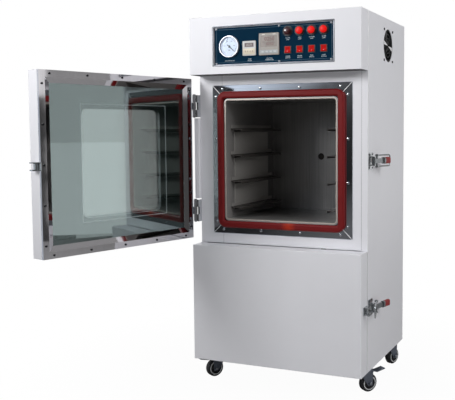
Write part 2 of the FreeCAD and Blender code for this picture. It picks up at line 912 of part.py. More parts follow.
def lamp_lenses():
    """Domed caps of the pilot lamps."""
    caps = []
    radius = lamp_radius - 2.2
    for x in column_xs():
        profile = [
            (0, 0),
            (radius, 0),
            (radius, lens_proud * 0.45),
            (radius * 0.9, lens_proud * 0.75),
            (radius * 0.62, lens_proud * 0.94),
            (0, lens_proud),
        ]
        caps.append(turned(profile, V(x, panel_face - 4, panel_z + lamp_z), V(0, -1, 0)))
    return Part.makeCompound(caps)


def rocker_axis(x):
    """Pivot point of one rocker."""
    return V(x, panel_face + 3.0, panel_z + rocker_z)


def switch_housings():
    """Switch bodies with a well and two pivot holes each."""
    bodies = []
    for x in column_xs():
        z = panel_z + rocker_z
        front = slab(rocker_frame, rocker_frame, 1.5, panel_face - 2.0, panel_face, x, z)
        body = slab(rocker_frame - 2, rocker_frame - 2, 0, panel_face, panel_face + switch_depth, x, z)
        well = slab(
            rocker_width + 2 * 0.3, rocker_height + 2 * rocker_gap, 0, panel_face - 3, panel_face + 11, x, z
        )
        pivot = rod(rocker_axis(x), rocker_pin_radius + small_fit, rocker_frame - 3.4, X_AXIS)
        bodies.append(less(front.fuse(body), [well, pivot]))
    return Part.makeCompound(bodies)


def rocker(index):
    """One rocker with its two pivot pins, tipped to its rest side."""
    x = column_xs()[index]
    axis = rocker_axis(x)
    half = rocker_height / 2
    left = x - rocker_width / 2
    face = panel_face - 4.6
    points = [
        (left, face, axis.z + half),
        (left, face + 2.4, axis.z + half * 0.1),
        (left, face + 2.4, axis.z - half * 0.1),
        (left, face, axis.z - half),
        (left, axis.y + 1.0, axis.z - half),
        (left, axis.y + 5.0, axis.z - half * 0.5),
        (left, axis.y + 5.0, axis.z + half * 0.5),
        (left, axis.y + 1.0, axis.z + half),
    ]
    cap = prism(points, V(rocker_width, 0, 0))
    pins = rod(axis, rocker_pin_radius, rocker_width + 1.6, X_AXIS)
    return turned_about(cap.fuse(pins), axis, X_AXIS, -rocker_tilt)


def fan_frame():
    """Square fan housing with a round duct, corner ears and four struts."""
    outer = side_x - sheet - 2 * guard_wire
    inner = outer - fan_depth
    half = fan_size / 2
    body = block(inner, outer, fan_y - half, fan_y + half, fan_z - half, fan_z + half)
    body = softened(body, 6.0, X_AXIS)
    duct = rod(V(outer, fan_y, fan_z), half - 3.0, 4 * fan_depth, X_AXIS)
    waist = block(
        inner + 5, outer - 5, fan_y - half - 1, fan_y + half + 1, fan_z - half - 1, fan_z + half + 1,
    )
    core = rod(V(outer, fan_y, fan_z), half - 1.0, 4 * fan_depth, X_AXIS)
    body = body.cut(waist.cut(core)).cut(duct)
    motor = rod(V(inner + 1.5, fan_y, fan_z), fan_hub_radius, 3.0, X_AXIS)
    struts = []
    for quarter in range(2):
        bar = block(inner, inner + 3, fan_y - half + 2, fan_y + half - 2, fan_z - 2, fan_z + 2)
        struts.append(turned_about(bar, V(0, fan_y, fan_z), X_AXIS, 45 + 90 * quarter))
    shaft = rod(V(inner + 8, fan_y, fan_z), 2.0, 16, X_AXIS)
    return fused([body, motor, shaft] + struts)


def fan_impeller():
    """Seven swept blades on a cupped hub."""
    inner = side_x - sheet - 2 * guard_wire - fan_depth + 4.0
    outer = inner + fan_depth - 6.0
    hub = rod(V((inner + outer) / 2, fan_y, fan_z), fan_hub_radius, outer - inner, X_AXIS)
    bore = rod(V(inner, fan_y, fan_z), 2.0 + small_fit, 26.2, X_AXIS)
    sweep = (outer - inner) * 0.8
    tip = math.sqrt((fan_size / 2 - 3.0 - fan_tip_gap) ** 2 - sweep ** 2)
    root = [(inner + 1, -sweep / 2, 0), (outer - 1, sweep / 2 - 1.4, 0)]
    outline = root + [(outer - 1, sweep / 2, 0), (inner + 1, 1.4 - sweep / 2, 0)]
    blades = []
    for index in range(fan_blade_count):
        blade = prism(outline, V(0, 0, tip - fan_hub_radius * 0.8))
        blade.translate(V(0, fan_y, fan_z + fan_hub_radius * 0.8))
        blades.append(turned_about(blade, V(0, fan_y, fan_z), X_AXIS, 360.0 / fan_blade_count * index))
    return fused([hub] + blades).cut(bore)


def fan_guard():
    """Wire finger guard: rings on two crossed wires that end at the screws."""
    x = side_x - sheet - guard_wire
    reach = fan_size / 2 * math.sqrt(2)
    centre = V(x, fan_y, fan_z)
    ring_step = (fan_opening / 2 - 4) / guard_ring_count
    rings = []
    for index in range(guard_ring_count):
        radius = ring_step * (index + 1)
        ring = rod(centre, radius + guard_wire, 2 * guard_wire, X_AXIS)
        rings.append(ring.cut(rod(centre, radius - guard_wire, 4 * guard_wire, X_AXIS)))
    wires = []
    half = reach - 8.0
    for angle in (45, 135):
        wire = block(
            x - guard_wire, x + guard_wire, fan_y - half, fan_y + half,
            fan_z - guard_wire, fan_z + guard_wire,
        )
        wires.append(turned_about(wire, centre, X_AXIS, angle))
    return fused(wires + rings)


def door_shell():
    """Painted outer door pan with its window, and the channel round the panes."""
    back = door_inner_y - door_frame_thickness
    pan = slab(door_width, door_height, 0, door_outer_y, back, z=door_z)
    outer_edges = [
        edge for edge in pan.Edges
        if all(abs(vertex.Y - door_outer_y) < 0.01 for vertex in edge.Vertexes)
    ]
    pan = pan.makeFillet(3.0, outer_edges)
    room_width = door_width - 2 * sheet
    room_height = door_height - 2 * sheet
    room = slab(room_width, room_height, 0, door_outer_y + sheet, back - sheet, z=door_z)
    lip = 2 * door_screw_inset
    mouth = slab(door_width - 2 * lip, door_height - 2 * lip, 0, back - 2 * sheet, back + 1, z=door_z)
    rim = slab(
        window_width + 2 * sheet, window_height + 2 * sheet, window_corner + sheet,
        door_outer_y + sheet, door_outer_y + window_rim, window_shift, door_z,
    )
    window = slab(
        window_width, window_height, window_corner, door_outer_y - 1, door_outer_y + window_rim + 1,
        window_shift, door_z,
    )
    pan = less(pan, [room, mouth])
    return Part.makeCompound([pan.fuse(rim).cut(window), door_glass_holder()])


def door_inner_frame():
    """Polished inner frame, bevelled down to the glass."""
    back = door_inner_y - door_frame_thickness
    frame = slab(door_width, door_height, 0, back, door_inner_y, z=door_z)
    band = 2 * door_band
    reach = 2 * (door_band + door_bevel)
    bevel_depth = glass_recess - 1.0
    slope = frustum(
        door_width - band, door_height - band, door_inner_y,
        door_width - reach, door_height - reach, door_inner_y - bevel_depth, door_z,
    )
    through = slab(door_width - reach, door_height - reach, 0, back - 1, door_inner_y, z=door_z)
    rebate = slab(
        door_width - reach + 2 * glass_lap, door_height - reach + 2 * glass_lap, 0,
        back - 1, glass_face, z=door_z,
    )
    return less(frame, [slope, through, rebate])


def door_glass():
    """Thick inner pane and the thin outer window pane."""
    reach = 2 * (door_band + door_bevel) - 2 * glass_lap
    inner = slab(
        door_width - reach - 1, door_height - reach - 1, 0,
        glass_face - glass_thickness, glass_face, z=door_z,
    )
    behind = door_outer_y + window_rim
    outer = slab(
        window_width + 24, window_height + 24, 0, behind, behind + window_pane, window_shift, door_z,
    )
    return Part.makeCompound([inner, outer])


def door_glass_holder():
    """Folded channel that holds both panes apart inside the door."""
    behind = door_outer_y + window_rim + window_pane
    front = glass_face - glass_thickness
    width = window_width + 24
    height = window_height + 24
    ring = slab(width, height, 0, behind, front, window_shift, door_z)
    room = slab(width - 4, height - 4, 0, behind - 1, front + 1, window_shift, door_z)
    ledge = slab(width - 4, height - 4, 0, behind, behind + 2, window_shift, door_z)
    opening = slab(window_width, window_height, window_corner, behind - 1, behind + 3, window_shift, door_z)
    return ring.cut(room).fuse(ledge.cut(opening)).removeSplitter()


def keeper(x, y, z):
    """Two-pronged hook plate; the prongs open towards the front."""
    base = block(x, x + keeper_plate, y - 8, y + 30, z - keeper_width / 2, z + keeper_width / 2)
    top = keeper_height
    outline = [
        (x + keeper_plate, y, 0),
        (x + keeper_plate, y + 20, 0),
        (x + top * 0.6, y + 20, 0),
        (x + top, y + 8, 0),
        (x + top, y - 7, 0),
        (x + top - 3.5, y - 7, 0),
        (x + top - 5.5, y, 0),
    ]
    prongs = []
    for offset in (-keeper_width / 2, keeper_width / 2 - 4.0):
        prong = prism(outline, V(0, 0, 4.0))
        prong.translate(V(0, 0, z + offset))
        prongs.append(prong)
    bridge = rod(V(x + 7.5, y + 12, z), 3.5, keeper_width - 2, Z_AXIS)
    return fused([base, bridge] + prongs)


def hook_y():
    """Front face of the keepers' hooks, where a hooked bail bears."""
    reach = bail_pivot_radius * math.cos(math.radians(lever_angle))
    return latch_pivot_y() + reach - bail_length + bail_wire


def latch_pivot_y():
    """Depth of the latch pivots."""
    return front_y + latch_behind_edge + latch_plate_length * 0.5


def door_catch():
    """Hook plate on the free edge of the oven door."""
    return keeper(door_width / 2, hook_y(), floor_gap + latch_z_upper)


def pump_door_keeper():
    """Hook plate on the right side of the pump door."""
    return keeper(side_x, hook_y(), floor_gap + latch_z_lower)


def hinge_heights():
    """Middles of the two door hinges."""
    return (door_bottom + hinge_inset, door_top - hinge_inset)


def knuckle(z0, z1, bore):
    """Hinge barrel between two heights."""
    barrel = Part.makeCylinder(knuckle_radius, z1 - z0, V(hinge_x, hinge_y, z0))
    return barrel.cut(Part.makeCylinder(bore, z1 - z0 + 2, V(hinge_x, hinge_y, z0 - 1)))


def cabinet_hinges():
    """Fixed hinge halves, their pins, and the pump door's pivots."""
    solids = []
    third = hinge_length / 3
    bore = hinge_pin_radius + hinge_fit
    for middle in hinge_heights():
        low = middle - hinge_length / 2
        high = middle + hinge_length / 2
        wing = block(-side_x - hinge_wing, -side_x, front_y + 2, front_y + 2 + hinge_wing_length, low, high)
        leaf = block(-side_x - hinge_wing, -side_x - 0.5, hinge_y + 4.5, front_y + 4, low, high)
        pieces = [softened(wing, 3.0, X_AXIS), leaf]
        hole = Part.makeCylinder(bore, hinge_length + 2, V(hinge_x, hinge_y, low - 1))
        for z0, z1 in ((low, low + third - hinge_gap), (high - third + hinge_gap, high)):
            neck = block(hinge_x, -side_x - 0.5, hinge_y - 3, hinge_y + 5, z0, z1)
            pieces += [neck, Part.makeCylinder(knuckle_radius, z1 - z0, V(hinge_x, hinge_y, z0))]
        solids.append(fused(pieces).cut(hole))
        pin = Part.makeCylinder(hinge_pin_radius, hinge_length + 2, V(hinge_x, hinge_y, low - 2))
        head = Part.makeCylinder(knuckle_radius - 1, 3, V(hinge_x, hinge_y, high))
        solids.append(pin.fuse(head).removeSplitter())
    solids += [pump_pivot(1), pump_pivot(-1)]
    return Part.makeCompound(solids)


def pump_pivot_point(z):
    """Point on the pump door's hinge line."""
    return V(-side_x + pump_pivot_inset_x, pump_door_back - pump_pivot_inset_y, z)


def pump_pivot(side):
    """Bracket with an upright pin inside the pump door's top or bottom wall."""
    plate_half = 2.0
    wall_z = pump_top_z - pump_door_gap - sheet if side > 0 else floor_gap + sheet
    z = wall_z - side * (plate_half + 1.0)
    centre = pump_pivot_point(z)
    inner_x = -side_x + edge_return - 1
    tongue = block(centre.x - 4.5, inner_x, centre.y - 5, front_y, z - plate_half, z + plate_half)
    foot = block(centre.x + 7.5, inner_x + 12, front_y - 2, front_y, *sorted((z - side * 30, z)))
    pin = Part.makeCylinder(pump_pin_radius, 7.0, V(centre.x, centre.y, z), Z_AXIS * side)
    return fused([tongue, foot, pin])


def door_hinge_leaves():
    """Moving hinge halves on the hinge edge of the door."""
    solids = []
    third = hinge_length / 3
    bore = hinge_pin_radius + hinge_fit
    door_edge = -door_width / 2
    for middle in hinge_heights():
        low = middle - third / 2
        high = middle + third / 2
        wing = block(
            door_edge - 10, door_edge, hinge_y - 8 - hinge_wing_length * 0.86, hinge_y - 8,
            middle - hinge_length / 2, middle + hinge_length / 2,
        )
        arm = block(hinge_x, door_edge, hinge_y - 11, hinge_y - 4.5, low, high)
        barrel = Part.makeCylinder(knuckle_radius, third, V(hinge_x, hinge_y, low))
        hole = Part.makeCylinder(bore, third + 2, V(hinge_x, hinge_y, low - 1))
        solids.append(fused([softened(wing, 3.0, X_AXIS), arm, barrel]).cut(hole))
    return Part.makeCompound(solids)


def latch_heights():
    """Middles of the two latches."""
    return (floor_gap + latch_z_upper, floor_gap + latch_z_lower)


def latch_pivot(z):
    """Main pivot of a latch."""
    return V(side_x + latch_pivot_out, latch_pivot_y(), z)


def latch_bases():
    """Latch plates with two ears and a fixed pivot pin each."""
    solids = []
    for z in latch_heights():
        pivot = latch_pivot(z)
        y0 = front_y + latch_behind_edge
        plate = block(
            side_x, side_x + latch_plate_thickness, y0, y0 + latch_plate_length,
            z - latch_plate_height / 2, z + latch_plate_height / 2,
        )
        pieces = [softened(plate, 5.0, X_AXIS)]
        for side in (-1, 1):
            near = z + side * latch_ear_gap / 2
            ends = sorted((near, near + side * latch_ear_thickness))
            ear = block(side_x, pivot.x + 6, pivot.y - 9, pivot.y + 9, *ends)
            pieces.append(softened(ear, 4.0, Z_AXIS))
        pieces.append(rod(pivot, latch_pin_radius, latch_ear_gap + 2 * latch_ear_thickness, Z_AXIS))
        solids.append(fused(pieces))
    return Part.makeCompound(solids)


def bail_pivot(z):
    """Pivot of the bail on the lever, lever at its stored angle."""
    pivot = latch_pivot(z)
    angle = math.radians(lever_angle)
    return pivot + V(math.sin(angle), math.cos(angle), 0) * bail_pivot_radius


def latch_lever(z):
    """Lever with a hub, two cheeks, a bail pin and a red grip."""
    pivot = latch_pivot(z)
    hub_height = latch_ear_gap - 2 * 0.5
    hub = rod(pivot, latch_pin_radius + 3.2, hub_height, Z_AXIS)
    bar = block(pivot.x - 3.0, pivot.x + 3.0, pivot.y + 3, pivot.y + lever_length - 40, z - 8, z + 8)
    pin_length = bail_spread + 2 * bail_wire + 3
    pin = rod(pivot + Y_AXIS * bail_pivot_radius, latch_pin_radius, pin_length, Z_AXIS)
    bore = rod(pivot, latch_pin_radius + small_fit, latch_ear_gap + 4, Z_AXIS)
    steel = fused([hub, bar, pin]).cut(bore)
    grip = block(
        pivot.x - 7, pivot.x + 7, pivot.y + lever_length - 40, pivot.y + lever_length, z - 11, z + 11,
    )
    grip = softened(grip, 5.0, Y_AXIS)
    tilt = -lever_angle
    return Part.makeCompound([turned_about(solid, pivot, Z_AXIS, tilt) for solid in (steel, grip)])


def latch_bail(z, degrees):
    """Wire loop with two eyes; degrees turns it from straight back."""
    pivot = bail_pivot(z)
    half = bail_spread / 2
    reach = pivot.y + bail_length
    points = [
        (pivot.x, pivot.y + 3, z - half),
        (pivot.x, reach, z - half),
        (pivot.x, reach, z + half),
        (pivot.x, pivot.y + 3, z + half),
    ]
    loop = pipe(points, bail_wire, 7.0)
    eyes = [rod(V(pivot.x, pivot.y, z + side * half), latch_pin_radius + 3.0, 2 * bail_wire + 1, Z_AXIS)
            for side in (-1, 1)]
    bores = [rod(V(pivot.x, pivot.y, z), latch_pin_radius + small_fit, bail_spread + 20, Z_AXIS)]
    bail = less(fused([loop] + eyes), bores)
    return turned_about(bail, pivot, Z_AXIS, degrees)


def pump_door():
    """Deep pan door of the pump bay, hung on two pins at its left edge."""
    low = floor_gap
    high = pump_top_z - pump_door_gap
    outer = block(-side_x, side_x, pump_door_front, pump_door_back, low, high)
    front_edges = [
        edge for edge in outer.Edges
        if all(abs(vertex.Y - pump_door_front) < 0.01 for vertex in edge.Vertexes)
    ]
    outer = outer.makeFillet(2.5, front_edges)
    room = block(
        -side_x + sheet, side_x - sheet, pump_door_front + sheet, pump_door_back + 1,
        low + sheet, high - sheet,
    )
    pan = outer.cut(room)
    hem = 14.0
    right_hem = block(side_x - hem, side_x, pump_door_back - sheet, pump_door_back, low, high)
    stiffener = block(
        -side_x + stiffener_end_gap, side_x - stiffener_end_gap,
        pump_door_front + sheet, pump_door_front + 16,
        (low + high) / 2 - 12, (low + high) / 2 + 12,
    )
    holes = []
    for z, side in ((low, -1), (high, 1)):
        point = pump_pivot_point(z)
        holes.append(rod(point, pump_pin_radius + pump_pin_fit, 12, Z_AXIS))
        ends = sorted((z - side * sheet, z - side * 9.0))
        holes.append(block(-side_x - 1, -side_x + sheet + 1, point.y - 8, pump_door_back + 1, *ends))
    return less(fused([pan, right_hem, stiffener]), holes)


def caster_places():
    """Name, swivel point and heading of each caster."""
    x = side_x - caster_inset_x
    front = front_y + caster_inset_y
    rear = rear_y - caster_inset_y
    return (
        ("front_left", V(-x, front, 0), front_left_heading),
        ("front_right", V(x, front, 0), front_right_heading),
        ("rear_left", V(-x, rear, 0), rear_left_heading),
        ("rear_right", V(x, rear, 0), rear_right_heading),
    )


def placed(shape, place, heading):
    """Put a caster piece, drawn trailing along +X, at its swivel."""
    copy = turned_about(shape, V(0, 0, 0), Z_AXIS, heading)
    copy.translate(place)
    return copy


def caster_plates():
    """Top plates, each with its king pin and lower washer."""
    plates = []
    top = floor_gap
    low = top - caster_plate_thickness
    half_length = caster_plate_length / 2
    half_width = caster_plate_width / 2
    for _, place, _ in caster_places():
        plate = softened(block(-half_length, half_length, -half_width, half_width, low, top), 6.0, Z_AXIS)
        pin = Part.makeCylinder(king_pin_radius, fork_drop() + 3, V(0, 0, low - fork_drop() - 3))
        washer = Part.makeCylinder(king_pin_radius + 4, 3, V(0, 0, low - fork_drop() - 3))
        plate = fused([plate, pin, washer])
        plate.translate(place)
        plates.append(plate)
    return Part.makeCompound(plates)


def fork_drop():
    """Height taken by the fork's crown below the top plate."""
    return 2 * race_gap + fork_crown()


def fork_crown():
    """Thickness of the fork's crown."""
    return 8.0


def fork_inner_half():
    """Half of the gap between the fork's cheeks."""
    return wheel_width / 2 + fork_side_gap


def caster_fork():
    """Pressed fork: crown, two tapered cheeks and the axle bolt."""
    crown_top = floor_gap - caster_plate_thickness - race_gap
    crown_low = crown_top - fork_crown()
    inner = fork_inner_half()
    outer = inner + fork_thickness
    profile = [(0, 0), (fork_head_radius - 6, 0), (fork_head_radius, fork_crown() * 0.45)]
    profile += [(fork_head_radius - 6, fork_crown()), (0, fork_crown())]
    pieces = [turned(profile, V(0, 0, crown_low), Z_AXIS)]
    pieces.append(block(-12, caster_trail + 8, -outer, outer, crown_low, crown_low + fork_thickness))
    for side in (-1, 1):
        y = inner if side > 0 else -outer
        outline = [
            (-14, y, crown_low + fork_thickness),
            (caster_trail + 12, y, crown_low + fork_thickness),
            (caster_trail + 9, y, wheel_radius - 8),
            (caster_trail - 8, y, wheel_radius - 8),
        ]
        pieces.append(prism(outline, V(0, fork_thickness, 0)))
    bolt_length = 2 * outer + 9
    pieces.append(rod(V(caster_trail, 0, wheel_radius), axle_radius, bolt_length, Y_AXIS))
    for side in (-1, 1):
        pieces.append(rod(V(caster_trail, side * (outer + 2.0), wheel_radius), axle_radius + 3, 4.0, Y_AXIS))
    hole = Part.makeCylinder(king_pin_radius + running_fit, 40, V(0, 0, crown_low - 10))
    return fused(pieces).cut(hole)


def caster_wheel():
    """Rubber-tyred wheel with a dished web and a bored hub."""
    half = wheel_width / 2
    bore = axle_radius + running_fit
    profile = [
        (bore, -half),
        (bore + 5, -half),
        (wheel_radius - 12, -half + 5),
        (wheel_radius - 9, -half + 1),
        (wheel_radius - 4, -half + 1),
        (wheel_radius, -half + 6),
        (wheel_radius, half - 6),
        (wheel_radius - 4, half - 1),
        (wheel_radius - 9, half - 1),
        (wheel_radius - 12, half - 5),
        (bore + 5, half),
        (bore, half),
    ]
    return turned(profile, V(caster_trail, 0, wheel_radius), Y_AXIS)


def pedal_pivot_z():
    """Height of the brake pedal's pivot."""
    return 2 * wheel_radius + 7.0


def caster_pedal():
    """Brake pedal: a rising tread on two cheek plates outside the fork."""
    z = pedal_pivot_z()
    half = fork_inner_half() - 0.8
    pivot_x = caster_trail + 6
    outline = [
        (pivot_x - 4, -half, z + 3),
        (pivot_x + 14, -half, z + 3),
        (caster_trail + 28, -half, z + 3 - 4),
        (caster_trail + pedal_length, -half, z + pedal_rise - 4),
        (caster_trail + pedal_length + 1, -half, z + pedal_rise - 7),
        (caster_trail + 30, -half, z - 4.5),
        (pivot_x + 12, -half, z - 0.5),
        (pivot_x - 4, -half, z - 0.5),
    ]
    tread = prism(outline, V(0, 2 * half, 0))
    pins = rod(V(pivot_x, 0, z), pedal_pivot_radius, 2 * (fork_inner_half() + fork_thickness + 1.5), Y_AXIS)
    return fused([tread, pins])


def fork_with_pedal_holes():
    """Front fork: as the rear one, with holes for the pedal's pivot."""
    hole = rod(
        V(caster_trail + 6, 0, pedal_pivot_z()), pedal_pivot_radius + running_fit,
        4 * fork_inner_half(), Y_AXIS,
    )
    return caster_fork().cut(hole)


def save(name, shape):
    """Write one sub-part."""
    shape.exportStep(os.path.join("parts", name + ".step"))


def build():
    """Write every sub-part of the oven."""
    os.makedirs("parts", exist_ok=True)
    fixed = {
        "cabinet_shell": cabinet_shell(),
        "front_panel": front_panel(),
        "rear_panel": rear_panel(),
        "inner_frame": inner_frame(),
        "chamber": chamber(),
        "chamber_flange": chamber_flange(),
        "gasket": gasket(),
        "shelf_rails": shelf_rails(),
        "vacuum_line": vacuum_line(),
        "insulation": insulation(),
        "heaters": heaters(),
        "vacuum_pump": vacuum_pump(),
        "header_box": header_box(),
        "control_panel": control_panel(),
        "gauge_case": gauge_case(),
        "gauge_dial": gauge_dial(),
        "gauge_needle": gauge_needle(),
        "gauge_glass": gauge_glass(),
        "timer_body": timer_body(),
        "controller_body": controller_body(),
        "lamp_bezels": lamp_bezels(),
        "lamp_lenses": lamp_lenses(),
        "switch_housings": switch_housings(),
        "fan_frame": fan_frame(),
        "fan_impeller": fan_impeller(),
        "fan_guard": fan_guard(),
        "cabinet_hinges": cabinet_hinges(),
        "latch_bases": latch_bases(),
        "pump_door": pump_door(),
        "pump_door_keeper": pump_door_keeper(),
        "caster_plates": caster_plates(),
    }
    for name, shape in fixed.items():
        save(name, shape)
    on_door = {
        "door_shell": door_shell(),
        "door_inner_frame": door_inner_frame(),
        "door_glass": door_glass(),
        "door_catch": door_catch(),
        "door_hinge_leaves": door_hinge_leaves(),
    }
    for name, shape in on_door.items():
        save(name, on_open_door(shape))
    for index in range(key_count):
        save("controller_key_" + str(index + 1), controller_key(index))
    for index in range(column_count):
        save("rocker_" + str(index + 1), rocker(index))
    upper, lower = latch_heights()
    save("upper_latch_lever", latch_lever(upper))
    save("upper_latch_bail", latch_bail(upper, -lever_angle))
    save("lower_latch_lever", latch_lever(lower))
    save("lower_latch_bail", latch_bail(lower, -180 + bail_release_angle))
    for name, place, heading in caster_places():
        fork = fork_with_pedal_holes() if name.startswith("front") else caster_fork()
        save("caster_fork_" + name, placed(fork, place, heading))
        save("caster_wheel_" + name, placed(caster_wheel(), place, heading))
        if name.startswith("front"):
            save("caster_pedal_" + name, placed(caster_pedal(), place, heading))


build()
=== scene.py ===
"""Looks of a vacuum drying oven on casters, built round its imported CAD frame.

Every length is in metres in the frame's own axes: +Z up, the oven faces -Y.
Each sub-assembly is a class with its sizes and the methods that model its
pieces, and each finish is a small frozen class that makes one material.
"""

import logging
import math
from collections.abc import Callable, Iterable, Iterator, Sequence
from contextlib import contextmanager
from dataclasses import dataclass
from enum import Enum

import bmesh
import bpy
from mathutils import Matrix, Quaternion, Vector


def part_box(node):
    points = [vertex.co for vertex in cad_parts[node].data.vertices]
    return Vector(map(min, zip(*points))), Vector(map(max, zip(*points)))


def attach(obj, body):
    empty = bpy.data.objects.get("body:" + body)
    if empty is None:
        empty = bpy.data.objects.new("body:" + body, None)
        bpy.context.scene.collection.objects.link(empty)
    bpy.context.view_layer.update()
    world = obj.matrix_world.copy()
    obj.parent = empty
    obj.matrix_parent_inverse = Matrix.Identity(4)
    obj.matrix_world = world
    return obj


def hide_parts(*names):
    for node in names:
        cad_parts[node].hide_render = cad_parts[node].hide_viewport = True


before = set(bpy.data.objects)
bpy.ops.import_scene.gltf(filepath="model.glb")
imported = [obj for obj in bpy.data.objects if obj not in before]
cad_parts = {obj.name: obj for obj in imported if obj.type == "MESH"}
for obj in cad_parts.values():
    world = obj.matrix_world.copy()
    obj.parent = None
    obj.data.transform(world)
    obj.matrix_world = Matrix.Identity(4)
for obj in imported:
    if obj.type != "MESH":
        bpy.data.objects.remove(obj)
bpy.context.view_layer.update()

LOG = logging.getLogger("oven")

Pair = tuple[float, float]
Triple = tuple[float, float, float]
Colour = tuple[float, float, float, float]
Node = bpy.types.Node
Socket = bpy.types.NodeSocket
Tree = bpy.types.NodeTree
Piece = bpy.types.Object

ORIGIN = (0.0, 0.0, 0.0)
STRAIGHT = 0.9  # a face whose normal has at least this share along an axis faces that way
INK_THICKNESS = 0.00006


class Grain(Enum):
    """Direction in which a sheet was rolled or brushed."""

    ALONG_X = "x"
    ALONG_Z = "z"
    MITRED = "mitred"


class Side(Enum):
    """Way that a small part faces."""

    FRONT = (0.0, -1.0, 0.0)
    BACK = (0.0, 1.0, 0.0)
    RIGHT = (1.0, 0.0, 0.0)
    TOP = (0.0, 0.0, 1.0)


class Element(Enum):
    """Kind of mesh element that an edit works on."""

    FACE = "faces"
    EDGE = "edges"


def linear(code: str) -> Colour:
    """Turn an sRGB hex code into linear RGBA.

    Args:
        code: Six hex digits.

    Returns:
        Linear red, green, blue and an alpha of one.
    """
    parts = [int(code[i:i + 2], 16) / 255 for i in (0, 2, 4)]
    r, g, b = (c / 12.92 if c <= 0.04045 else ((c + 0.055) / 1.055) ** 2.4 for c in parts)
    return (r, g, b, 1.0)


def grey(value: float) -> Colour:
    """Grey of one linear value."""
    return (value, value, value, 1.0)


def spots(size_mm: float) -> float:
    """Noise scale whose spots are this many millimetres wide."""
    return 1000 / size_mm / 2


def outlet(source: Node | Socket) -> Socket:
    """Socket that a link starts from: the one given, or a node's first output."""
    return source if isinstance(source, Socket) else source.outputs[0]


def add(tree: Tree, kind: str, settings: dict | None = None, links: dict | None = None) -> Node:
    """Add one node with its settings and links.

    Args:
        tree: Node tree that gets the node.
        kind: Blender's name of the shader node.
        settings: Properties of the node, values of its inputs, or a colour ramp's stops.
        links: Input names or numbers, each with the node or output that feeds it.

    Returns:
        The new node.
    """
    node = tree.nodes.new(f"ShaderNode{kind}")
    for name, value in (settings or {}).items():
        if name == "stops":
            elements = node.color_ramp.elements
            while len(elements) < len(value):
                elements.new(0.5)
            for element, (place, colour) in zip(elements, value):
                element.position = place
                element.color = colour
        elif isinstance(name, str) and hasattr(node, name):
            setattr(node, name, value)
        else:
            node.inputs[name].default_value = value
    for name, source in (links or {}).items():
        tree.links.new(outlet(source), node.inputs[name])
    return node


@dataclass(frozen=True)
class Surface:
    """One material in the making: its tree, its shader and its output."""

    tree: Tree
    shader: Node
    out: Node

    def coords(self, scale: Triple = (1.0, 1.0, 1.0)) -> Node:
        """Object coordinates, stretched along each axis."""
        place = add(self.tree, "TexCoord").outputs["Object"]
        return add(self.tree, "Mapping", {"Scale": scale}, {"Vector": place})

    def along(self, axis: str) -> Socket:
        """Object coordinate along one axis."""
        return add(self.tree, "SeparateXYZ", links={"Vector": self.coords()}).outputs[axis]

    def plain(self, values: dict[str, float | Colour]) -> None:
        """Set shader inputs that are the same all over the surface."""
        for name, value in values.items():
            self.shader.inputs[name].default_value = value

    def feed(self, name: str, source: Node | Socket) -> None:
        """Link a pattern to one of the shader's inputs."""
        self.tree.links.new(outlet(source), self.shader.inputs[name])

    def overlay(self, mask: Node | Socket, code: str) -> None:
        """Lay another colour over the base colour.

        Args:
            mask: One where the other colour shows.
            code: The other colour.
        """
        base = self.shader.inputs["Base Color"].links[0].from_socket
        mix = add(self.tree, "Mix", {"data_type": "RGBA", 7: linear(code)}, {"Factor": mask, 6: base})
        self.feed("Base Color", mix.outputs[2])

    def cover(self, mask: Node | Socket, other: Node) -> None:
        """Let another shader take over where a mask is one."""
        both = add(self.tree, "MixShader", links={0: mask, 1: self.shader, 2: other})
        self.tree.links.new(both.outputs[0], self.out.inputs["Surface"])


@dataclass(frozen=True)
class Finish:
    """Base of every finish: a named material, made once.

    Its depth is the share by which a pattern darkens the colour, and its
    sheen holds how far a pattern lowers and raises the roughness.
    """

    name: str
    code: str
    roughness: float = 0.5
    metallic: float = 0.0
    gloss: float = 0.5
    depth: float = 0.1
    relief: float = 0.1
    relief_depth: float = 0.0001
    sheen: Pair = (-0.06, 0.06)

    def material(self) -> bpy.types.Material:
        """Make the material, or return it if it is made already."""
        made = bpy.data.materials.get(self.name)
        if made:
            return made
        made = bpy.data.materials.new(self.name)
        made.use_nodes = True
        tree = made.node_tree
        tree.nodes.clear()
        shader = add(tree, "BsdfPrincipled", {
            "Base Color": linear(self.code), "Roughness": self.roughness, "Metallic": self.metallic,
            "Specular IOR Level": self.gloss})
        self.dress(Surface(tree, shader, add(tree, "OutputMaterial", links={"Surface": shader})))
        return made

    def dress(self, on: Surface) -> None:
        """Add the finish's own pattern; the base has none."""

    def move(self, on: Surface, tone: Node | Socket | None = None, height: Node | Socket | None = None,
             wear: Node | Socket | None = None) -> None:
        """Let patterns move the colour, the relief and the roughness.

        Args:
            on: Material in the making.
            tone: Pattern that darkens the base colour.
            height: Pattern that raises the surface.
            wear: Pattern that moves the roughness.
        """
        base = linear(self.code)
        dark = (*(c * (1 - self.depth) for c in base[:3]), 1.0)
        low, high = (grey(self.roughness + step) for step in self.sheen)
        bump = {"Strength": self.relief, "Distance": self.relief_depth}
        for name, pattern, kind, settings, entry in (
                ("Base Color", tone, "ValToRGB", {"stops": ((0.3, dark), (0.7, base))}, "Fac"),
                ("Roughness", wear, "ValToRGB", {"stops": ((0.3, low), (0.7, high))}, "Fac"),
                ("Normal", height, "Bump", bump, "Height")):
            if pattern is not None:
                on.feed(name, add(on.tree, kind, settings, {entry: pattern}))


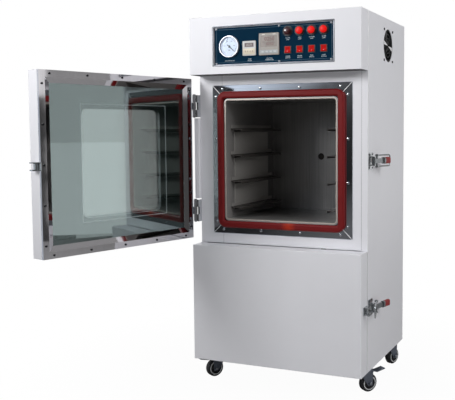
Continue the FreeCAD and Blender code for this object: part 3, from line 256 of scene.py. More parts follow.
@dataclass(frozen=True)
class PowderCoat(Finish):
    """Baked powder paint on steel sheet: even colour and a fine orange peel.

    The peel is drawn at the coarse end of a real one, so that it shows.
    """

    depth: float = 0.03
    relief: float = 0.12
    relief_depth: float = 0.00012
    sheen: Pair = (-0.05, 0.06)
    peel_mm: float = 1.8
    cloud_mm: float = 100.0
    coat: float = 0.15

    def dress(self, on: Surface) -> None:
        """Orange peel, faint clouding and slightly uneven gloss.

        Args:
            on: Material in the making.
        """
        peel = add(on.tree, "TexNoise", {"Scale": spots(self.peel_mm), "Detail": 2.0},
                   {"Vector": on.coords()})
        cloud = add(on.tree, "TexNoise", {"Scale": spots(self.cloud_mm), "Detail": 3.0, "Roughness": 0.6},
                    {"Vector": on.coords()})
        self.move(on, cloud, peel, cloud)
        on.plain({"Coat Weight": self.coat, "Coat Roughness": 0.25})


@dataclass(frozen=True)
class SheetSteel(Finish):
    """Stainless sheet with a rolled or brushed grain, from satin to near mirror.

    A real grain is finer than the render shows, so it is drawn as coarse as
    it needs to be seen.
    """

    depth: float = 0.15
    relief_depth: float = 0.00006
    grain: Grain = Grain.ALONG_X
    grain_mm: float = 0.6
    streak: float = 60.0
    smear_mm: float = 35.7
    middle: Triple = ORIGIN
    half_size: Pair = (0.3, 0.28)

    def streaks(self, on: Surface, along_x: bool) -> Node:
        """Fine streaks of rolled or brushed sheet.

        Args:
            on: Material in the making.
            along_x: Whether they run along X, and not along Z and Y.

        Returns:
            Node with the pattern.
        """
        fine = spots(self.grain_mm)
        long = fine / self.streak
        scale = (long, fine, fine) if along_x else (fine, long, long)
        return add(on.tree, "TexNoise", {"Scale": 1.0, "Detail": 3.0, "Roughness": 0.7},
                   {"Vector": on.coords(scale)})

    def inwards(self, on: Surface, axis: str, middle: float, half: float) -> Node:
        """Distance inwards from a pair of opposite edges.

        Args:
            on: Material in the making.
            axis: Axis on which the edges lie.
            middle: Place midway between the edges.
            half: Distance from there to each edge.

        Returns:
            Node with the distance.
        """
        off = add(on.tree, "Math", {"operation": "SUBTRACT", 1: middle}, {0: on.along(axis)})
        size = add(on.tree, "Math", {"operation": "ABSOLUTE"}, {0: off})
        return add(on.tree, "Math", {"operation": "SUBTRACT", 0: half}, {1: size})

    def dress(self, on: Surface) -> None:
        """Grain in relief, uneven gloss and faint handling smears.

        Args:
            on: Material in the making.
        """
        if self.grain is Grain.MITRED:
            across = self.inwards(on, "X", self.middle[0], self.half_size[0])
            up = self.inwards(on, "Z", self.middle[2], self.half_size[1])
            level = add(on.tree, "Math", {"operation": "GREATER_THAN"}, {0: across, 1: up})
            grain = add(on.tree, "Mix", {"data_type": "FLOAT"}, {
                "Factor": level, "A": self.streaks(on, False), "B": self.streaks(on, True)})
        else:
            grain = self.streaks(on, self.grain is Grain.ALONG_X)
        smear = add(on.tree, "TexNoise", {"Scale": spots(self.smear_mm), "Detail": 4.0, "Distortion": 0.6},
                    {"Vector": on.coords()})
        self.move(on, grain, grain, smear)


@dataclass(frozen=True)
class Moulding(Finish):
    """Moulded plastic, rubber or silicone: fine spark texture and slight mottling.

    The spark texture is drawn coarser than a real one, which would not show.
    """

    depth: float = 0.08
    relief: float = 0.15
    spark_mm: float = 0.5
    mottle_mm: float = 14.3

    def dress(self, on: Surface) -> None:
        """Spark texture in relief and mottled gloss.

        Args:
            on: Material in the making.
        """
        spark = add(on.tree, "TexNoise", {"Scale": spots(self.spark_mm), "Detail": 2.0},
                    {"Vector": on.coords()})
        mottle = add(on.tree, "TexNoise", {"Scale": spots(self.mottle_mm), "Detail": 3.0},
                     {"Vector": on.coords()})
        self.move(on, mottle, spark, mottle)


@dataclass(frozen=True)
class LitCap(Finish):
    """Translucent coloured cap with a lamp behind it."""

    depth: float = 0.12
    relief: float = 0.08
    glow: float = 0.6
    coat: float = 0.2
    rib_mm: float = 1.208

    def dress(self, on: Surface) -> None:
        """Ribbed inner lens and the lamp's glow.

        Args:
            on: Material in the making.
        """
        pitch = 1000 / self.rib_mm * math.tau / 20  # a wave of scale one repeats every tau / 20
        wave = add(on.tree, "TexWave", {"Scale": pitch, "Distortion": 0.4}, {"Vector": on.coords()})
        rib = wave.outputs["Fac"]
        self.move(on, rib, rib)
        on.plain({"Emission Color": linear(self.code), "Emission Strength": self.glow,
                  "Coat Weight": self.coat, "Coat Roughness": 0.06})


@dataclass(frozen=True)
class LampRow(LitCap):
    """Row of coloured caps, of which those left of a plane are unlit."""

    unlit_code: str = "3A0A0C"
    lit_from_x: float = 0.077

    def dress(self, on: Surface) -> None:
        """Lit caps, then a darker colour, a clear coat and no glow on the unlit ones.

        Args:
            on: Material in the making.
        """
        super().dress(on)
        unlit = add(on.tree, "Math", {"operation": "LESS_THAN", 1: self.lit_from_x}, {0: on.along("X")})
        on.overlay(unlit, self.unlit_code)
        on.feed("Coat Weight", unlit)
        glow = add(on.tree, "Math", {"operation": "MULTIPLY_ADD", 1: -self.glow, 2: self.glow}, {0: unlit})
        on.feed("Emission Strength", glow)


@dataclass(frozen=True)
class Pane(Finish):
    """Clear sheet glass; shadow rays pass it, as light passes a real pane."""

    sheen: Pair = (0.0, 0.02)
    wipe_mm: float = 55.6
    index: float = 1.5
    shine_code: str = "FFFFFF"

    def dress(self, on: Surface) -> None:
        """Transmission with faint wiping smears.

        Args:
            on: Material in the making.
        """
        on.plain({"Specular Tint": linear(self.shine_code), "Transmission Weight": 1.0, "IOR": self.index})
        wipe = add(on.tree, "TexNoise", {"Scale": spots(self.wipe_mm), "Detail": 3.0, "Distortion": 1.0},
                   {"Vector": on.coords((1.0, 1.0, 3.0))})
        self.move(on, wear=wipe)
        on.cover(add(on.tree, "LightPath").outputs["Is Shadow Ray"],
                 add(on.tree, "BsdfTransparent", {"Color": linear(self.code)}))


@dataclass(frozen=True)
class DippedLever(SheetSteel):
    """Plated lever whose far end is dipped in vinyl."""

    grip_code: str = "8A1416"
    grip_roughness: float = 0.42
    grip_from: Triple = (0.3390, -0.1335, 0.0)
    grip_way: Triple = (0.225, 0.974, 0.0)

    def dress(self, on: Surface) -> None:
        """Plating, then vinyl past the plane where the dip ends.

        Args:
            on: Material in the making.
        """
        super().dress(on)
        place = add(on.tree, "VectorMath", {"operation": "SUBTRACT", 1: self.grip_from}, {0: on.coords()})
        past = add(on.tree, "VectorMath", {"operation": "DOT_PRODUCT", 1: self.grip_way}, {0: place})
        dipped = add(on.tree, "Math", {"operation": "GREATER_THAN", 1: 0.0}, {0: past.outputs["Value"]})
        vinyl = {"Base Color": linear(self.grip_code), "Roughness": self.grip_roughness}
        on.cover(dipped, add(on.tree, "BsdfPrincipled", vinyl))


@dataclass(frozen=True)
class ChamberSteel(SheetSteel):
    """Satin sheet with painted light: lighter and less metallic towards the chamber's mouth, where light
    falls in.
    """

    painted_mouth_light_code: str = "A9A6A4"
    mouth_y: float = -0.235
    mouth_metallic: float = 0.5
    dull_y: float = 0.02

    def dress(self, on: Surface) -> None:
        """Satin sheet, then painted light near the mouth over its base colour.

        Args:
            on: Material in the making.
        """
        super().dress(on)
        # Painted light: the colour and the metallic shift from the back towards the mouth.
        painted_mouth_light = add(on.tree, "MapRange", {"From Min": self.dull_y, "From Max": self.mouth_y},
                    {"Value": on.along("Y")})
        on.overlay(painted_mouth_light, self.painted_mouth_light_code)
        metallic = {"To Min": self.metallic, "To Max": self.mouth_metallic}
        on.feed("Metallic", add(on.tree, "MapRange", metallic, {"Value": painted_mouth_light}))


@dataclass(frozen=True)
class LedgedSheet(SheetSteel):
    """Pressed sheet whose folded ledges, one above another, carry painted shade."""

    painted_ledge_shade_code: str = "4C4845"
    first_z: float = 0.6165
    pitch: float = 0.0925
    share: float = 0.14

    def dress(self, on: Surface) -> None:
        """Sheet steel, then painted shade on the folds over its base colour.

        Args:
            on: Material in the making.
        """
        super().dress(on)
        # Painted shade: a dark band in the lowest share of each ledge's pitch, all the way up the sheet.
        painted_ledge_shade = on.along("Z")
        for operation, amount in (("SUBTRACT", self.first_z), ("DIVIDE", self.pitch), ("FRACT", 0.0),
                                  ("LESS_THAN", self.share)):
            painted_ledge_shade = add(on.tree, "Math", {"operation": operation, 1: amount}, {0: painted_ledge_shade})
        on.overlay(painted_ledge_shade, self.painted_ledge_shade_code)


@dataclass(frozen=True)
class SealRubber(Moulding):
    """Moulded red silicone with painted light: a warmer glow laid on where light comes through the joint."""

    painted_glow_code: str = "C83A12"
    painted_glow_at: Triple = (0.035, -0.248, 0.572)
    painted_glow_reach: float = 0.028
    painted_glow_share: float = 0.7

    def dress(self, on: Surface) -> None:
        """Mottled silicone, then the painted glow over its base colour.

        Args:
            on: Material in the making.
        """
        super().dress(on)
        # Painted light: an orange glow near one point at the foot of the seal, fading with distance.
        near = add(on.tree, "VectorMath", {"operation": "DISTANCE", 1: self.painted_glow_at}, {0: on.coords()})
        painted_glow = add(on.tree, "MapRange", {"From Min": self.painted_glow_reach, "From Max": 0.0, "To Min": 0.0,
                                         "To Max": self.painted_glow_share}, {"Value": near.outputs["Value"]})
        on.overlay(painted_glow, self.painted_glow_code)


@dataclass(frozen=True)
class Wool(Finish):
    """Needled rock wool: coarse tangled fibres."""

    depth: float = 0.45
    relief: float = 0.8
    relief_depth: float = 0.0015
    clump_mm: float = 2.08

    def dress(self, on: Surface) -> None:
        """Fibre clumps in colour and relief.

        Args:
            on: Material in the making.
        """
        clump = add(on.tree, "TexNoise", {"Scale": spots(self.clump_mm), "Detail": 6.0, "Distortion": 2.0},
                    {"Vector": on.coords((1.0, 1.0, 0.3))})
        self.move(on, clump, clump)


# Baked paints have an even, soft sheen. The printed panel is dark and flat, so that its words stand out.
WHITE_PAINT = PowderCoat("powder_coat_white", "ECECF1", 0.48, gloss=0.35, coat=0.05)
PANEL_PAINT = PowderCoat("silk_printed_panel_blue", "072A40", 0.6, gloss=0.02, depth=0.08, peel_mm=0.9,
                         coat=0.0)
GREY_CASTING = PowderCoat("hammer_paint_grey", "5C646C", 0.45, peel_mm=4.0, depth=0.15)
# Painted shade: a dark sheet stands for the shade inside the door behind its glass.
LINER_PAINTED_SHADE = PowderCoat("matt_black_liner", "2C3432", 0.7, peel_mm=0.8, depth=0.1, coat=0.0, gloss=0.1)
# Painted shade: a dark grey sheet under the header stands for the shade there.
SOFFIT_PAINTED_SHADE = PowderCoat("primer_grey_soffit", "4C4C50", 0.6, peel_mm=1.2, depth=0.08, coat=0.0)
# Satin sheet in the chamber spreads the light in upright streaks; painted light brightens its mouth and
# painted shade darkens its folds.
SATIN_STEEL = ChamberSteel("satin_stainless_chamber", "8B8988", 0.36, 0.8, depth=0.25, relief=0.2,
                           grain=Grain.ALONG_Z, grain_mm=2.2)
LEDGE_STEEL = LedgedSheet("dull_pressed_stainless", "B9B6B2", 0.4, 0.45, grain_mm=1.5, depth=0.2)
# Painted shade: the vacuum pipe is coloured dark for its inside, which lies in shade.
PIPE_PAINTED_SHADE = SheetSteel("heat_blued_stainless", "2A2523", 0.4, 0.7, grain_mm=1.5, depth=0.3)
# Ground edges and weld lines scatter light; their nearly white colour beside polished sheet is partly their
# own and partly painted highlight.
GROUND_EDGE_HIGHLIGHT = SheetSteel("ground_stainless_edge", "CDC3B8", 0.45, 0.3, grain_mm=0.8, relief=0.05)
WELD_LINE_HIGHLIGHT = SheetSteel("ground_weld_line", "E8E9EC", 0.5, 0.2, grain_mm=0.6, relief=0.05)
# Polished sheet mirrors the room, a little blurred along its grain. The flange's grain turns at each mitre.
FLANGE_STEEL = SheetSteel("polished_stainless_flange", "DCE0E8", 0.05, 1.0, depth=0.1, relief=0.012,
                          sheen=(-0.02, 0.02), grain=Grain.MITRED, grain_mm=1.2, middle=(0.0, 0.0, 0.797),
                          half_size=(0.259, 0.2605))
DOOR_STEEL = SheetSteel("polished_stainless_door_frame", "CFCDD0", 0.035, 1.0, depth=0.08, relief=0.008,
                        sheen=(-0.015, 0.015), grain=Grain.ALONG_Z, grain_mm=1.2)
CHROME = SheetSteel("bright_chrome_plate", "DADCE0", 0.07, 1.0, grain_mm=3.0, relief=0.02, depth=0.05,
                    sheen=(-0.055, 0.06))
# Zinc plate is duller and bluer than chrome, with soft cloudy highlights.
ZINC = SheetSteel("zinc_plated_sheet", "A4A9AD", 0.38, 1.0, grain_mm=2.5, depth=0.2)
LATCH_ZINC = SheetSteel("zinc_plated_latch", "B9BDC0", 0.2, 0.9, grain_mm=2.0, relief=0.05, depth=0.2)
LATCH_LEVER = DippedLever("zinc_lever_with_vinyl_grip", "8E9295", 0.26, 0.85, grain_mm=2.0, relief=0.05)
CASTER_STEEL = SheetSteel("zinc_plated_pressing", "6E7480", 0.36, 0.6, grain_mm=1.5, depth=0.3)
# Screw heads and trim catch one small highlight each.
SCREW_STEEL = SheetSteel("turned_stainless_screw", "C4C6CA", 0.2, 1.0, grain_mm=0.4, relief=0.05)
DARK_SCREW = SheetSteel("blackened_steel_screw", "2B2B2E", 0.35, 1.0, grain_mm=0.4, relief=0.05)
DULL_SCREW = SheetSteel("zinc_plated_screw", "8A8D92", 0.42, 0.8, grain_mm=0.4, relief=0.05)
# Painted shade: the trim is darker than nickel for the shade in the panel's recess and round the gauge's
# dial.
TRIM_STEEL_AND_SHADE = SheetSteel("satin_nickel_trim", "74777D", 0.4, 0.6, grain_mm=1.0, relief=0.03, depth=0.08)
LAMP_RING = SheetSteel("black_nickel_ring", "3B3236", 0.35, 0.6, grain_mm=1.0, relief=0.03, depth=0.08)
BEZEL = SheetSteel("satin_aluminium_bezel", "B2B5BC", 0.34, 0.75, grain_mm=1.0, relief=0.02, depth=0.05)
# Silicone and rubber are matt, with a skin that takes hardly any highlight.
SILICONE = SealRubber("moulded_silicone_red", "731215", 0.5, gloss=0.22, spark_mm=1.4, relief=0.2)
HEATER_MAT = Moulding("pressed_silicone_mat", "A55A2C", 0.6, spark_mm=2.0, relief=0.4)
TYRE = Moulding("vulcanised_rubber_black", "1B1B1D", 0.62, spark_mm=0.9, relief=0.3)
DOOR_SEAL = Moulding("extruded_rubber_black", "232527", 0.5)
WINDOW_SEAL = Moulding("extruded_silicone_grey", "AEB2B3", 0.5)
KEY_GREY = Moulding("silicone_key_light_grey", "C6CACB", 0.5)
# Moulded plastics have a fine spark texture and a broad, soft highlight.
RIM_GREY = Moulding("moulded_nylon_rim_grey", "C9CBCC", 0.5, spark_mm=1.0)
BLACK_ABS = Moulding("moulded_abs_black", "1C1C1F", 0.45)
MODULE_GREY = Moulding("moulded_abs_grey", "9C968F", 0.45)
TIMER_SILVER = Moulding("moulded_abs_silver", "C3C2C0", 0.36)
CREAM = Moulding("moulded_abs_cream", "D9CFB8", 0.45)
KEY_STRIP = Moulding("printed_key_strip_grey", "A9AEB1", 0.5)
# Unlit displays are smooth smoked acrylic, with their characters just darker or lighter than the window.
DISPLAY = Moulding("smoked_acrylic_window", "5C4A4A", 0.25, relief=0.02)
DISPLAY_GREY = Moulding("smoked_acrylic_grey", "857B75", 0.3, relief=0.02)
SEGMENTS = Moulding("display_segments_brown", "6B463C", 0.5)
SEGMENTS_LIGHT = Moulding("display_bars_light", "D8D4CC", 0.4)
# Ink, enamel and painted lines are flat colour, without a texture of their own.
DIAL = Moulding("enamelled_dial_white", "BFC6DB", 0.4, relief=0.02, depth=0.02)
INK_DARK = Moulding("printed_ink_black", "1A1B1E", 0.6, relief=0.02)
INK_LIGHT = Moulding("printed_ink_white", "AEBBC2", 0.6, relief=0.02)
INK_FAINT = Moulding("printed_ink_pale_blue", "3F6074", 0.6, relief=0.02)
INK_RED = Moulding("moulded_mark_red", "6E1414", 0.6, relief=0.02)
# Painted highlight: whiter than the body paint, for the side sheet's lit edge and the fan's two light wedges.
WHITE_TRIM_AND_HIGHLIGHT = Moulding("painted_trim_white", "F2F2F4", 0.4, relief=0.02)
SHADOW_GAP = Moulding("painted_joint_shadow", "6A6B70", 0.8, relief=0.02)
# Rock wool is a dry, tangled yellow mat without any shine.
ROCKWOOL = Wool("needled_rock_wool", "B5A97A", 0.95)
# Red caps glow softly from within, and their ribs break the light up.
LAMP_RED = LampRow("acrylic_lamp_cap_red", "B80E0B", 0.34, glow=0.8, gloss=0.2)
ROCKER_RED = LitCap("lit_rocker_red", "A8100E", 0.5, glow=0.3, coat=0.0, gloss=0.08)
# The door's thick glass mirrors the room strongly with a green cast. The gauge's thin glass hardly shows.
DOOR_PANE = Pane("toughened_glass_green_grey", "B8C2C1", 0.0, index=2.7, shine_code="ECFFFF")
CLEAR_PANE = Pane("clear_gauge_glass", "F4F7F7", 0.0, index=1.25)


# Modelling steps on a single object


def focus(piece: Piece) -> None:
    """Make one object the only selected and active one.

    Args:
        piece: The object.
    """
    bpy.ops.object.select_all(action="DESELECT")
    piece.select_set(True)
    bpy.context.view_layer.objects.active = piece


@contextmanager
def picked(piece: Piece, test: Callable[[bmesh.types.BMFace], bool],
           kind: Element = Element.FACE) -> Iterator[None]:
    """Edit one object with only the faces or edges that pass a test selected.

    Args:
        piece: Object to edit.
        test: Takes a face or an edge, and says if it is wanted.
        kind: Kind of element that is picked.

    Yields:
        Nothing; object mode comes back after the block.
    """
    focus(piece)
    bpy.ops.object.mode_set(mode="EDIT")
    bpy.ops.mesh.select_mode(type=kind.name)
    bpy.ops.mesh.select_all(action="DESELECT")
    mesh = bmesh.from_edit_mesh(piece.data)
    for element in mesh.faces if kind is Element.FACE else mesh.edges:
        if test(element):
            element.select_set(True)
    bmesh.update_edit_mesh(piece.data)
    yield
    bpy.ops.object.mode_set(mode="OBJECT")


def applied(piece: Piece, kind: str, settings: dict) -> Piece:
    """Give an object one modifier and apply it.

    Args:
        piece: The object.
        kind: Blender's modifier type.
        settings: The modifier's properties.

    Returns:
        The same object.
    """
    focus(piece)
    modifier = piece.modifiers.new(kind.lower(), kind)
    for name, value in settings.items():
        setattr(modifier, name, value)
    bpy.ops.object.modifier_apply(modifier=modifier.name)
    return piece


def soften(piece: Piece, width: float, steps: int = 2, angle: float = 40.0) -> Piece:
    """Round the edges that are sharper than an angle in degrees."""
    return applied(piece, "BEVEL", {"width": width, "segments": steps, "limit_method": "ANGLE",
                                    "angle_limit": math.radians(angle)})


def cut_out(piece: Piece, tool: Piece) -> Piece:
    """Cut one object out of another.

    Args:
        piece: Object that is cut.
        tool: Object that is cut out, and then dropped.

    Returns:
        The cut object.
    """
    applied(piece, "BOOLEAN", {"operation": "DIFFERENCE", "object": tool, "solver": "EXACT"})
    bpy.data.objects.remove(tool)
    return piece


def primitive(maker: Callable[..., set], scale: Sequence[float] = (1.0, 1.0, 1.0),
              **settings: object) -> Piece:
    """Start a piece from a primitive.

    Args:
        maker: Operator that adds the primitive.
        scale: Stretch along each axis.
        settings: The operator's own settings.

    Returns:
        The new object, with its place and stretch in its mesh.
    """
    bpy.ops.object.select_all(action="DESELECT")
    maker(**settings)
    bpy.context.object.scale = scale
    bpy.ops.object.transform_apply(location=True, rotation=True, scale=True)
    return bpy.context.object


def block(low: Triple, high: Triple) -> Piece:
    """Start a piece from a cube between its lowest and highest corner."""
    return primitive(bpy.ops.mesh.primitive_cube_add, [b - a for a, b in zip(low, high)], size=1.0,
                     location=[(a + b) / 2 for a, b in zip(low, high)])


def turn_to(facing: Triple) -> Quaternion:
    """Turn that takes +Z to a direction."""
    return Vector(Side.TOP.value).rotation_difference(Vector(facing))


def disc(at: Triple, radius: float, depth: float, facing: Triple, sides: int) -> Piece:
    """Start a piece from a cylinder.

    Args:
        at: Its middle.
        radius: Its radius.
        depth: Its length.
        facing: Direction of its axis.
        sides: Number of its sides.

    Returns:
        The new object.
    """
    return primitive(bpy.ops.mesh.primitive_cylinder_add, vertices=sides, radius=radius, depth=depth,
                     location=at, rotation=turn_to(facing).to_euler())


def plate(size: Pair, corner: float, depth: Pair, at: Pair, steps: int = 6) -> Piece:
    """Model an upright plate with rounded corners, facing -Y.

    Args:
        size: Its width and height.
        corner: Corner radius.
        depth: Its front and back plane along Y.
        at: Its middle along X and Z.
        steps: Segments of each corner.

    Returns:
        The new object.
    """
    piece = block((at[0] - size[0] / 2, depth[0], at[1] - size[1] / 2),
                  (at[0] + size[0] / 2, depth[1], at[1] + size[1] / 2))
    if corner > 0:
        half = (depth[1] - depth[0]) / 2
        with picked(piece, lambda edge: abs(edge.verts[1].co.y - edge.verts[0].co.y) > half, Element.EDGE):
            bpy.ops.mesh.bevel(offset=corner, segments=steps, affect="EDGES")
    return piece


def hollow(piece: Piece, wall: float, facing: Triple = Side.FRONT.value) -> Piece:
    """Open a disc or plate from face to face, so that a ring is left.

    Args:
        piece: The disc or plate.
        wall: Width of the ring's band.
        facing: Direction of its axis.

    Returns:
        The same object.
    """
    with picked(piece, lambda face: abs(face.normal.dot(Vector(facing).normalized())) > STRAIGHT):
        bpy.ops.mesh.inset(thickness=wall, depth=0.0)
        bpy.ops.mesh.bridge_edge_loops()
    return piece


def tapered(piece: Piece, facing: Triple, share: float) -> Piece:
    """Narrow one end about the X-Y plane.

    Args:
        piece: The object.
        facing: Direction in which the end faces.
        share: Share of the height that is left there.

    Returns:
        The same object.
    """
    with picked(piece, lambda face: face.normal.dot(Vector(facing)) > STRAIGHT):
        bpy.ops.transform.resize(value=(1.0, 1.0, share), center_override=ORIGIN)
    return piece


def swung(piece: Piece, degrees: float, axis: str, to: Triple = ORIGIN) -> Piece:
    """Turn a piece about an axis through the origin, then move it.

    Args:
        piece: The object.
        degrees: Angle of the turn.
        axis: Name of the axis.
        to: Place to which the origin moves.

    Returns:
        The same object.
    """
    piece.data.transform(Matrix.Translation(to) @ Matrix.Rotation(math.radians(degrees), 4, axis))
    return piece


def joined(pieces: Sequence[Piece]) -> Piece:
    """Join objects.

    Args:
        pieces: The objects.

    Returns:
        The first one, which holds them all.
    """
    focus(pieces[0])
    for piece in pieces:
        piece.select_set(True)
    if len(pieces) > 1:
        bpy.ops.object.join()
    return bpy.context.object


def words(text: str, size: float, at: Triple, bold: float = 0.0) -> Piece:
    """Model printed characters as thin flat relief that is read from the front.

    Args:
        text: The characters.
        size: Height of a capital's body.
        at: Their middle.
        bold: Extra stroke width.

    Returns:
        The new mesh object.
    """
    bpy.ops.object.select_all(action="DESELECT")
    bpy.ops.object.text_add(location=at, rotation=(math.radians(90), 0.0, 0.0))
    letters = bpy.context.object.data
    letters.body = text
    letters.size = size
    letters.extrude = INK_THICKNESS
    letters.offset = bold
    letters.resolution_u = 2
    letters.align_x = letters.align_y = "CENTER"
    bpy.ops.object.convert(target="MESH")
    bpy.ops.object.transform_apply(location=True, rotation=True, scale=True)
    return bpy.context.object


def settle(piece: Piece, name: str, finish: Finish, body: str = "cabinet",
           stands_for: Iterable[str] = (), smooth: float = 35.0) -> None:
    """Name a finished piece, give it its finish and let it ride on its body.

    Args:
        piece: The finished object.
        name: Its name.
        finish: Its finish.
        body: CAD body that it rides on.
        stands_for: CAD nodes that it replaces.
        smooth: Faces that meet below this angle in degrees are shaded as one.
    """
    focus(piece)
    piece.name = piece.data.name = name
    piece.data.materials.clear()
    piece.data.materials.append(finish.material())
    bpy.ops.object.shade_smooth_by_angle(angle=math.radians(smooth))
    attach(piece, body)
    if stands_for:
        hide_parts(*stands_for)
    LOG.info("piece %s on %s", name, body)


def dress_nodes(finish: Finish, *names: str) -> None:
    """Give CAD nodes their finish.

    Args:
        finish: The finish.
        names: Names of the nodes.
    """
    for name in names:
        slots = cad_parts[name].data.materials
        slots.clear()
        slots.append(finish.material())


@dataclass(frozen=True)
class ScrewKit:
    """Pan head screws with a cross recess, modelled once and copied."""

    radius: float = 0.0036
    height: float = 0.0022

    def head(self) -> Piece:
        """Model one head at the origin, facing +Z."""
        radius, height = self.radius, self.height
        long, thin = radius * 0.55, radius * 0.13
        piece = disc((0.0, 0.0, height / 2), radius, height, Side.TOP.value, 20)
        with picked(piece, lambda face: face.normal.z > STRAIGHT):
            bpy.ops.mesh.inset(thickness=radius * 0.4, depth=0.0)
            bpy.ops.transform.translate(value=(0.0, 0.0, height * 0.25))
        for turn in (0.0, 90.0):
            arm = block((-long, -thin, height * 0.55), (long, thin, height * 1.6))
            cut_out(piece, swung(arm, turn, "Z"))
        return piece

    def row(self, places: Sequence[Triple], facing: Side) -> Piece:
        """Copy the head to each place and join the copies.

        Args:
            places: Seats of the heads.
            facing: Side that they face.

        Returns:
            One object with all the heads, each tightened to another angle.
        """
        head = self.head()
        turn = turn_to(facing.value).to_matrix().to_4x4()
        copies = []
        for index, place in enumerate(places):
            copy = head.copy()
            copy.data = head.data.copy()
            tightened = Matrix.Rotation(math.radians(37 * index), 4, "Z")
            copy.data.transform(Matrix.Translation(place) @ turn @ tightened)
            bpy.context.scene.collection.objects.link(copy)
            copies.append(copy)
        bpy.data.objects.remove(head)
        return joined(copies)


@dataclass(frozen=True)
class SoftBox:
    """One rectangular lamp that faces a point; its honeycomb narrows its spread."""

    name: str
    at: Triple
    target: Triple
    size: Pair
    watts: float
    spread: float = 180.0
    mirrored: bool = True

    def place(self) -> None:
        """Add the lamp to the scene."""
        data = bpy.data.lights.new(self.name, "AREA")
        data.shape = "RECTANGLE"
        data.size, data.size_y = self.size
        data.energy = self.watts
        data.spread = math.radians(self.spread)
        lamp = bpy.data.objects.new(self.name, data)
        lamp.visible_glossy = self.mirrored
        way = Vector(self.target) - Vector(self.at)
        lamp.matrix_world = Matrix.Translation(self.at) @ way.to_track_quat("-Z", "Y").to_matrix().to_4x4()
        bpy.context.scene.collection.objects.link(lamp)


@dataclass
class Studio:
    """Camera, lamps, world and floor."""

    eye: Triple = (1.0601, -2.6626, 0.9019)
    yaw: float = 0.405761568
    pitch: float = 0.0749594172
    roll: float = -0.00503936153
    focal_px: float = 775.603
    centre_px: Pair = (284.77, 187.82)
    frame_px: Pair = (455.0, 400.0)
    sensor_mm: float = 36.0
    surround: float = 0.245
    room_tones: tuple[Pair, ...] = ((0.08, 0.13), (0.18, 0.015), (0.3, 0.03), (0.4, 0.11))
    window_tone: tuple[float, Colour] = (0.49, (0.82, 0.9, 1.0, 1.0))
    paper: float = 0.47
    fade: Pair = (0.35, 1.1)
    lamps: tuple[SoftBox, ...] = (
        SoftBox("key_softbox", (-1.55, -2.4, 1.95), (0.0, -0.3, 1.3), (0.8, 0.8), 10.0, 80.0),
        SoftBox("low_softbox", (0.5, -3.0, 0.3), (0.0, -0.24, 0.8), (1.6, 0.5), 5.8, mirrored=False),
        SoftBox("fill_softbox", (3.2, -1.25, 2.6), (0.2, 0.0, 0.95), (1.8, 2.0), 64.0),
        SoftBox("top_softbox", (0.2, 0.2, 3.4), (0.0, 0.0, 1.0), (2.0, 1.6), 6.5),
        SoftBox("rear_softbox", (-1.2, 3.2, 2.6), (0.0, 0.0, 0.7), (2.0, 2.0), 33.0))

    def camera(self) -> None:
        """Place the camera fitted to the photograph."""
        right = Vector((math.cos(self.yaw), math.sin(self.yaw), 0.0))
        level = Vector((-math.sin(self.yaw), math.cos(self.yaw), 0.0))
        ahead = level * math.cos(self.pitch) - Vector(Side.TOP.value) * math.sin(self.pitch)
        up = right.cross(ahead)
        across = right * math.cos(self.roll) + up * math.sin(self.roll)
        above = up * math.cos(self.roll) - right * math.sin(self.roll)
        width, height = self.frame_px
        data = bpy.data.cameras.new("camera")
        data.sensor_width = self.sensor_mm
        data.lens = self.focal_px * self.sensor_mm / width
        data.shift_x = (width / 2 - self.centre_px[0]) / width
        data.shift_y = (self.centre_px[1] - height / 2) / width
        data.clip_end = 60.0
        camera = bpy.data.objects.new("camera", data)
        turn = Matrix((across, above, -ahead)).transposed().to_4x4()
        camera.matrix_world = Matrix.Translation(self.eye) @ turn
        bpy.context.scene.collection.objects.link(camera)
        bpy.context.scene.camera = camera

    def cards(self, tree: Tree, way: bpy.types.NodeOutputs) -> Node:
        """White cards and dark flags at the object's right hand, for the open door's steel and glass.

        Args:
            tree: Node tree that gets the nodes.
            way: Outputs with the parts of a ray's direction.

        Returns:
            Node with the brightness seen that way.
        """
        across = add(tree, "Math", {"operation": "ARCTAN2"}, {0: way["Y"], 1: way["X"]})
        flat = add(tree, "CombineXYZ", links={"X": way["X"], "Y": way["Y"]})
        length = add(tree, "VectorMath", {"operation": "LENGTH"}, {0: flat}).outputs["Value"]
        slope = add(tree, "Math", {"operation": "DIVIDE"}, {0: way["Z"], 1: length})
        # Each row is one card's edge: what it is measured by, its place, and the brightness on both sides.
        edges = (("rim", slope, 0.042, 0.06, 1.0), ("foot", across, 0.352, 0.06, 0.6),
                 ("high", slope, 0.06, 0.66, 0.36), ("wall", slope, -0.015, 1.0, "high"),
                 ("middle", slope, -0.13, "foot", "wall"), ("front", across, 0.3215, "rim", "middle"),
                 ("room", across, 1.57, "front", 1.0))
        made = {}
        for name, source, place, before, past in edges:
            settings = {}
            links = {"Factor": add(tree, "Math", {"operation": "GREATER_THAN", 1: place}, {0: source})}
            for slot, level in (("A", before), ("B", past)):
                if level in made:
                    links[slot] = made[level]
                else:
                    settings[slot] = level
            made[name] = add(tree, "Mix", settings, links)
        return made["room"]

    def world(self) -> None:
        """White surroundings, with a darker room behind the camera for metal to show."""
        world = bpy.data.worlds.new("studio")
        bpy.context.scene.world = world
        world.use_nodes = True
        tree = world.node_tree
        tree.nodes.clear()
        ray = add(tree, "LightPath").outputs
        way = add(tree, "SeparateXYZ", links={"Vector": add(tree, "TexCoord").outputs["Generated"]}).outputs
        left = add(tree, "Math", {"operation": "MULTIPLY", 1: -0.9}, {0: way["X"]})
        slope = add(tree, "Math", {"operation": "MULTIPLY_ADD", 1: 1.6}, {0: way["Z"], 2: left})
        tones = (*((place, grey(tone)) for place, tone in self.room_tones), self.window_tone)
        room = add(tree, "ValToRGB", {"stops": tones}, {"Fac": slope})
        behind = add(tree, "MapRange", {"From Min": -0.45, "From Max": -0.05}, {"Value": way["Y"]})
        cards = self.cards(tree, way)
        sides = add(tree, "Mix", {"data_type": "RGBA"}, {"Factor": behind, 6: room, 7: cards})
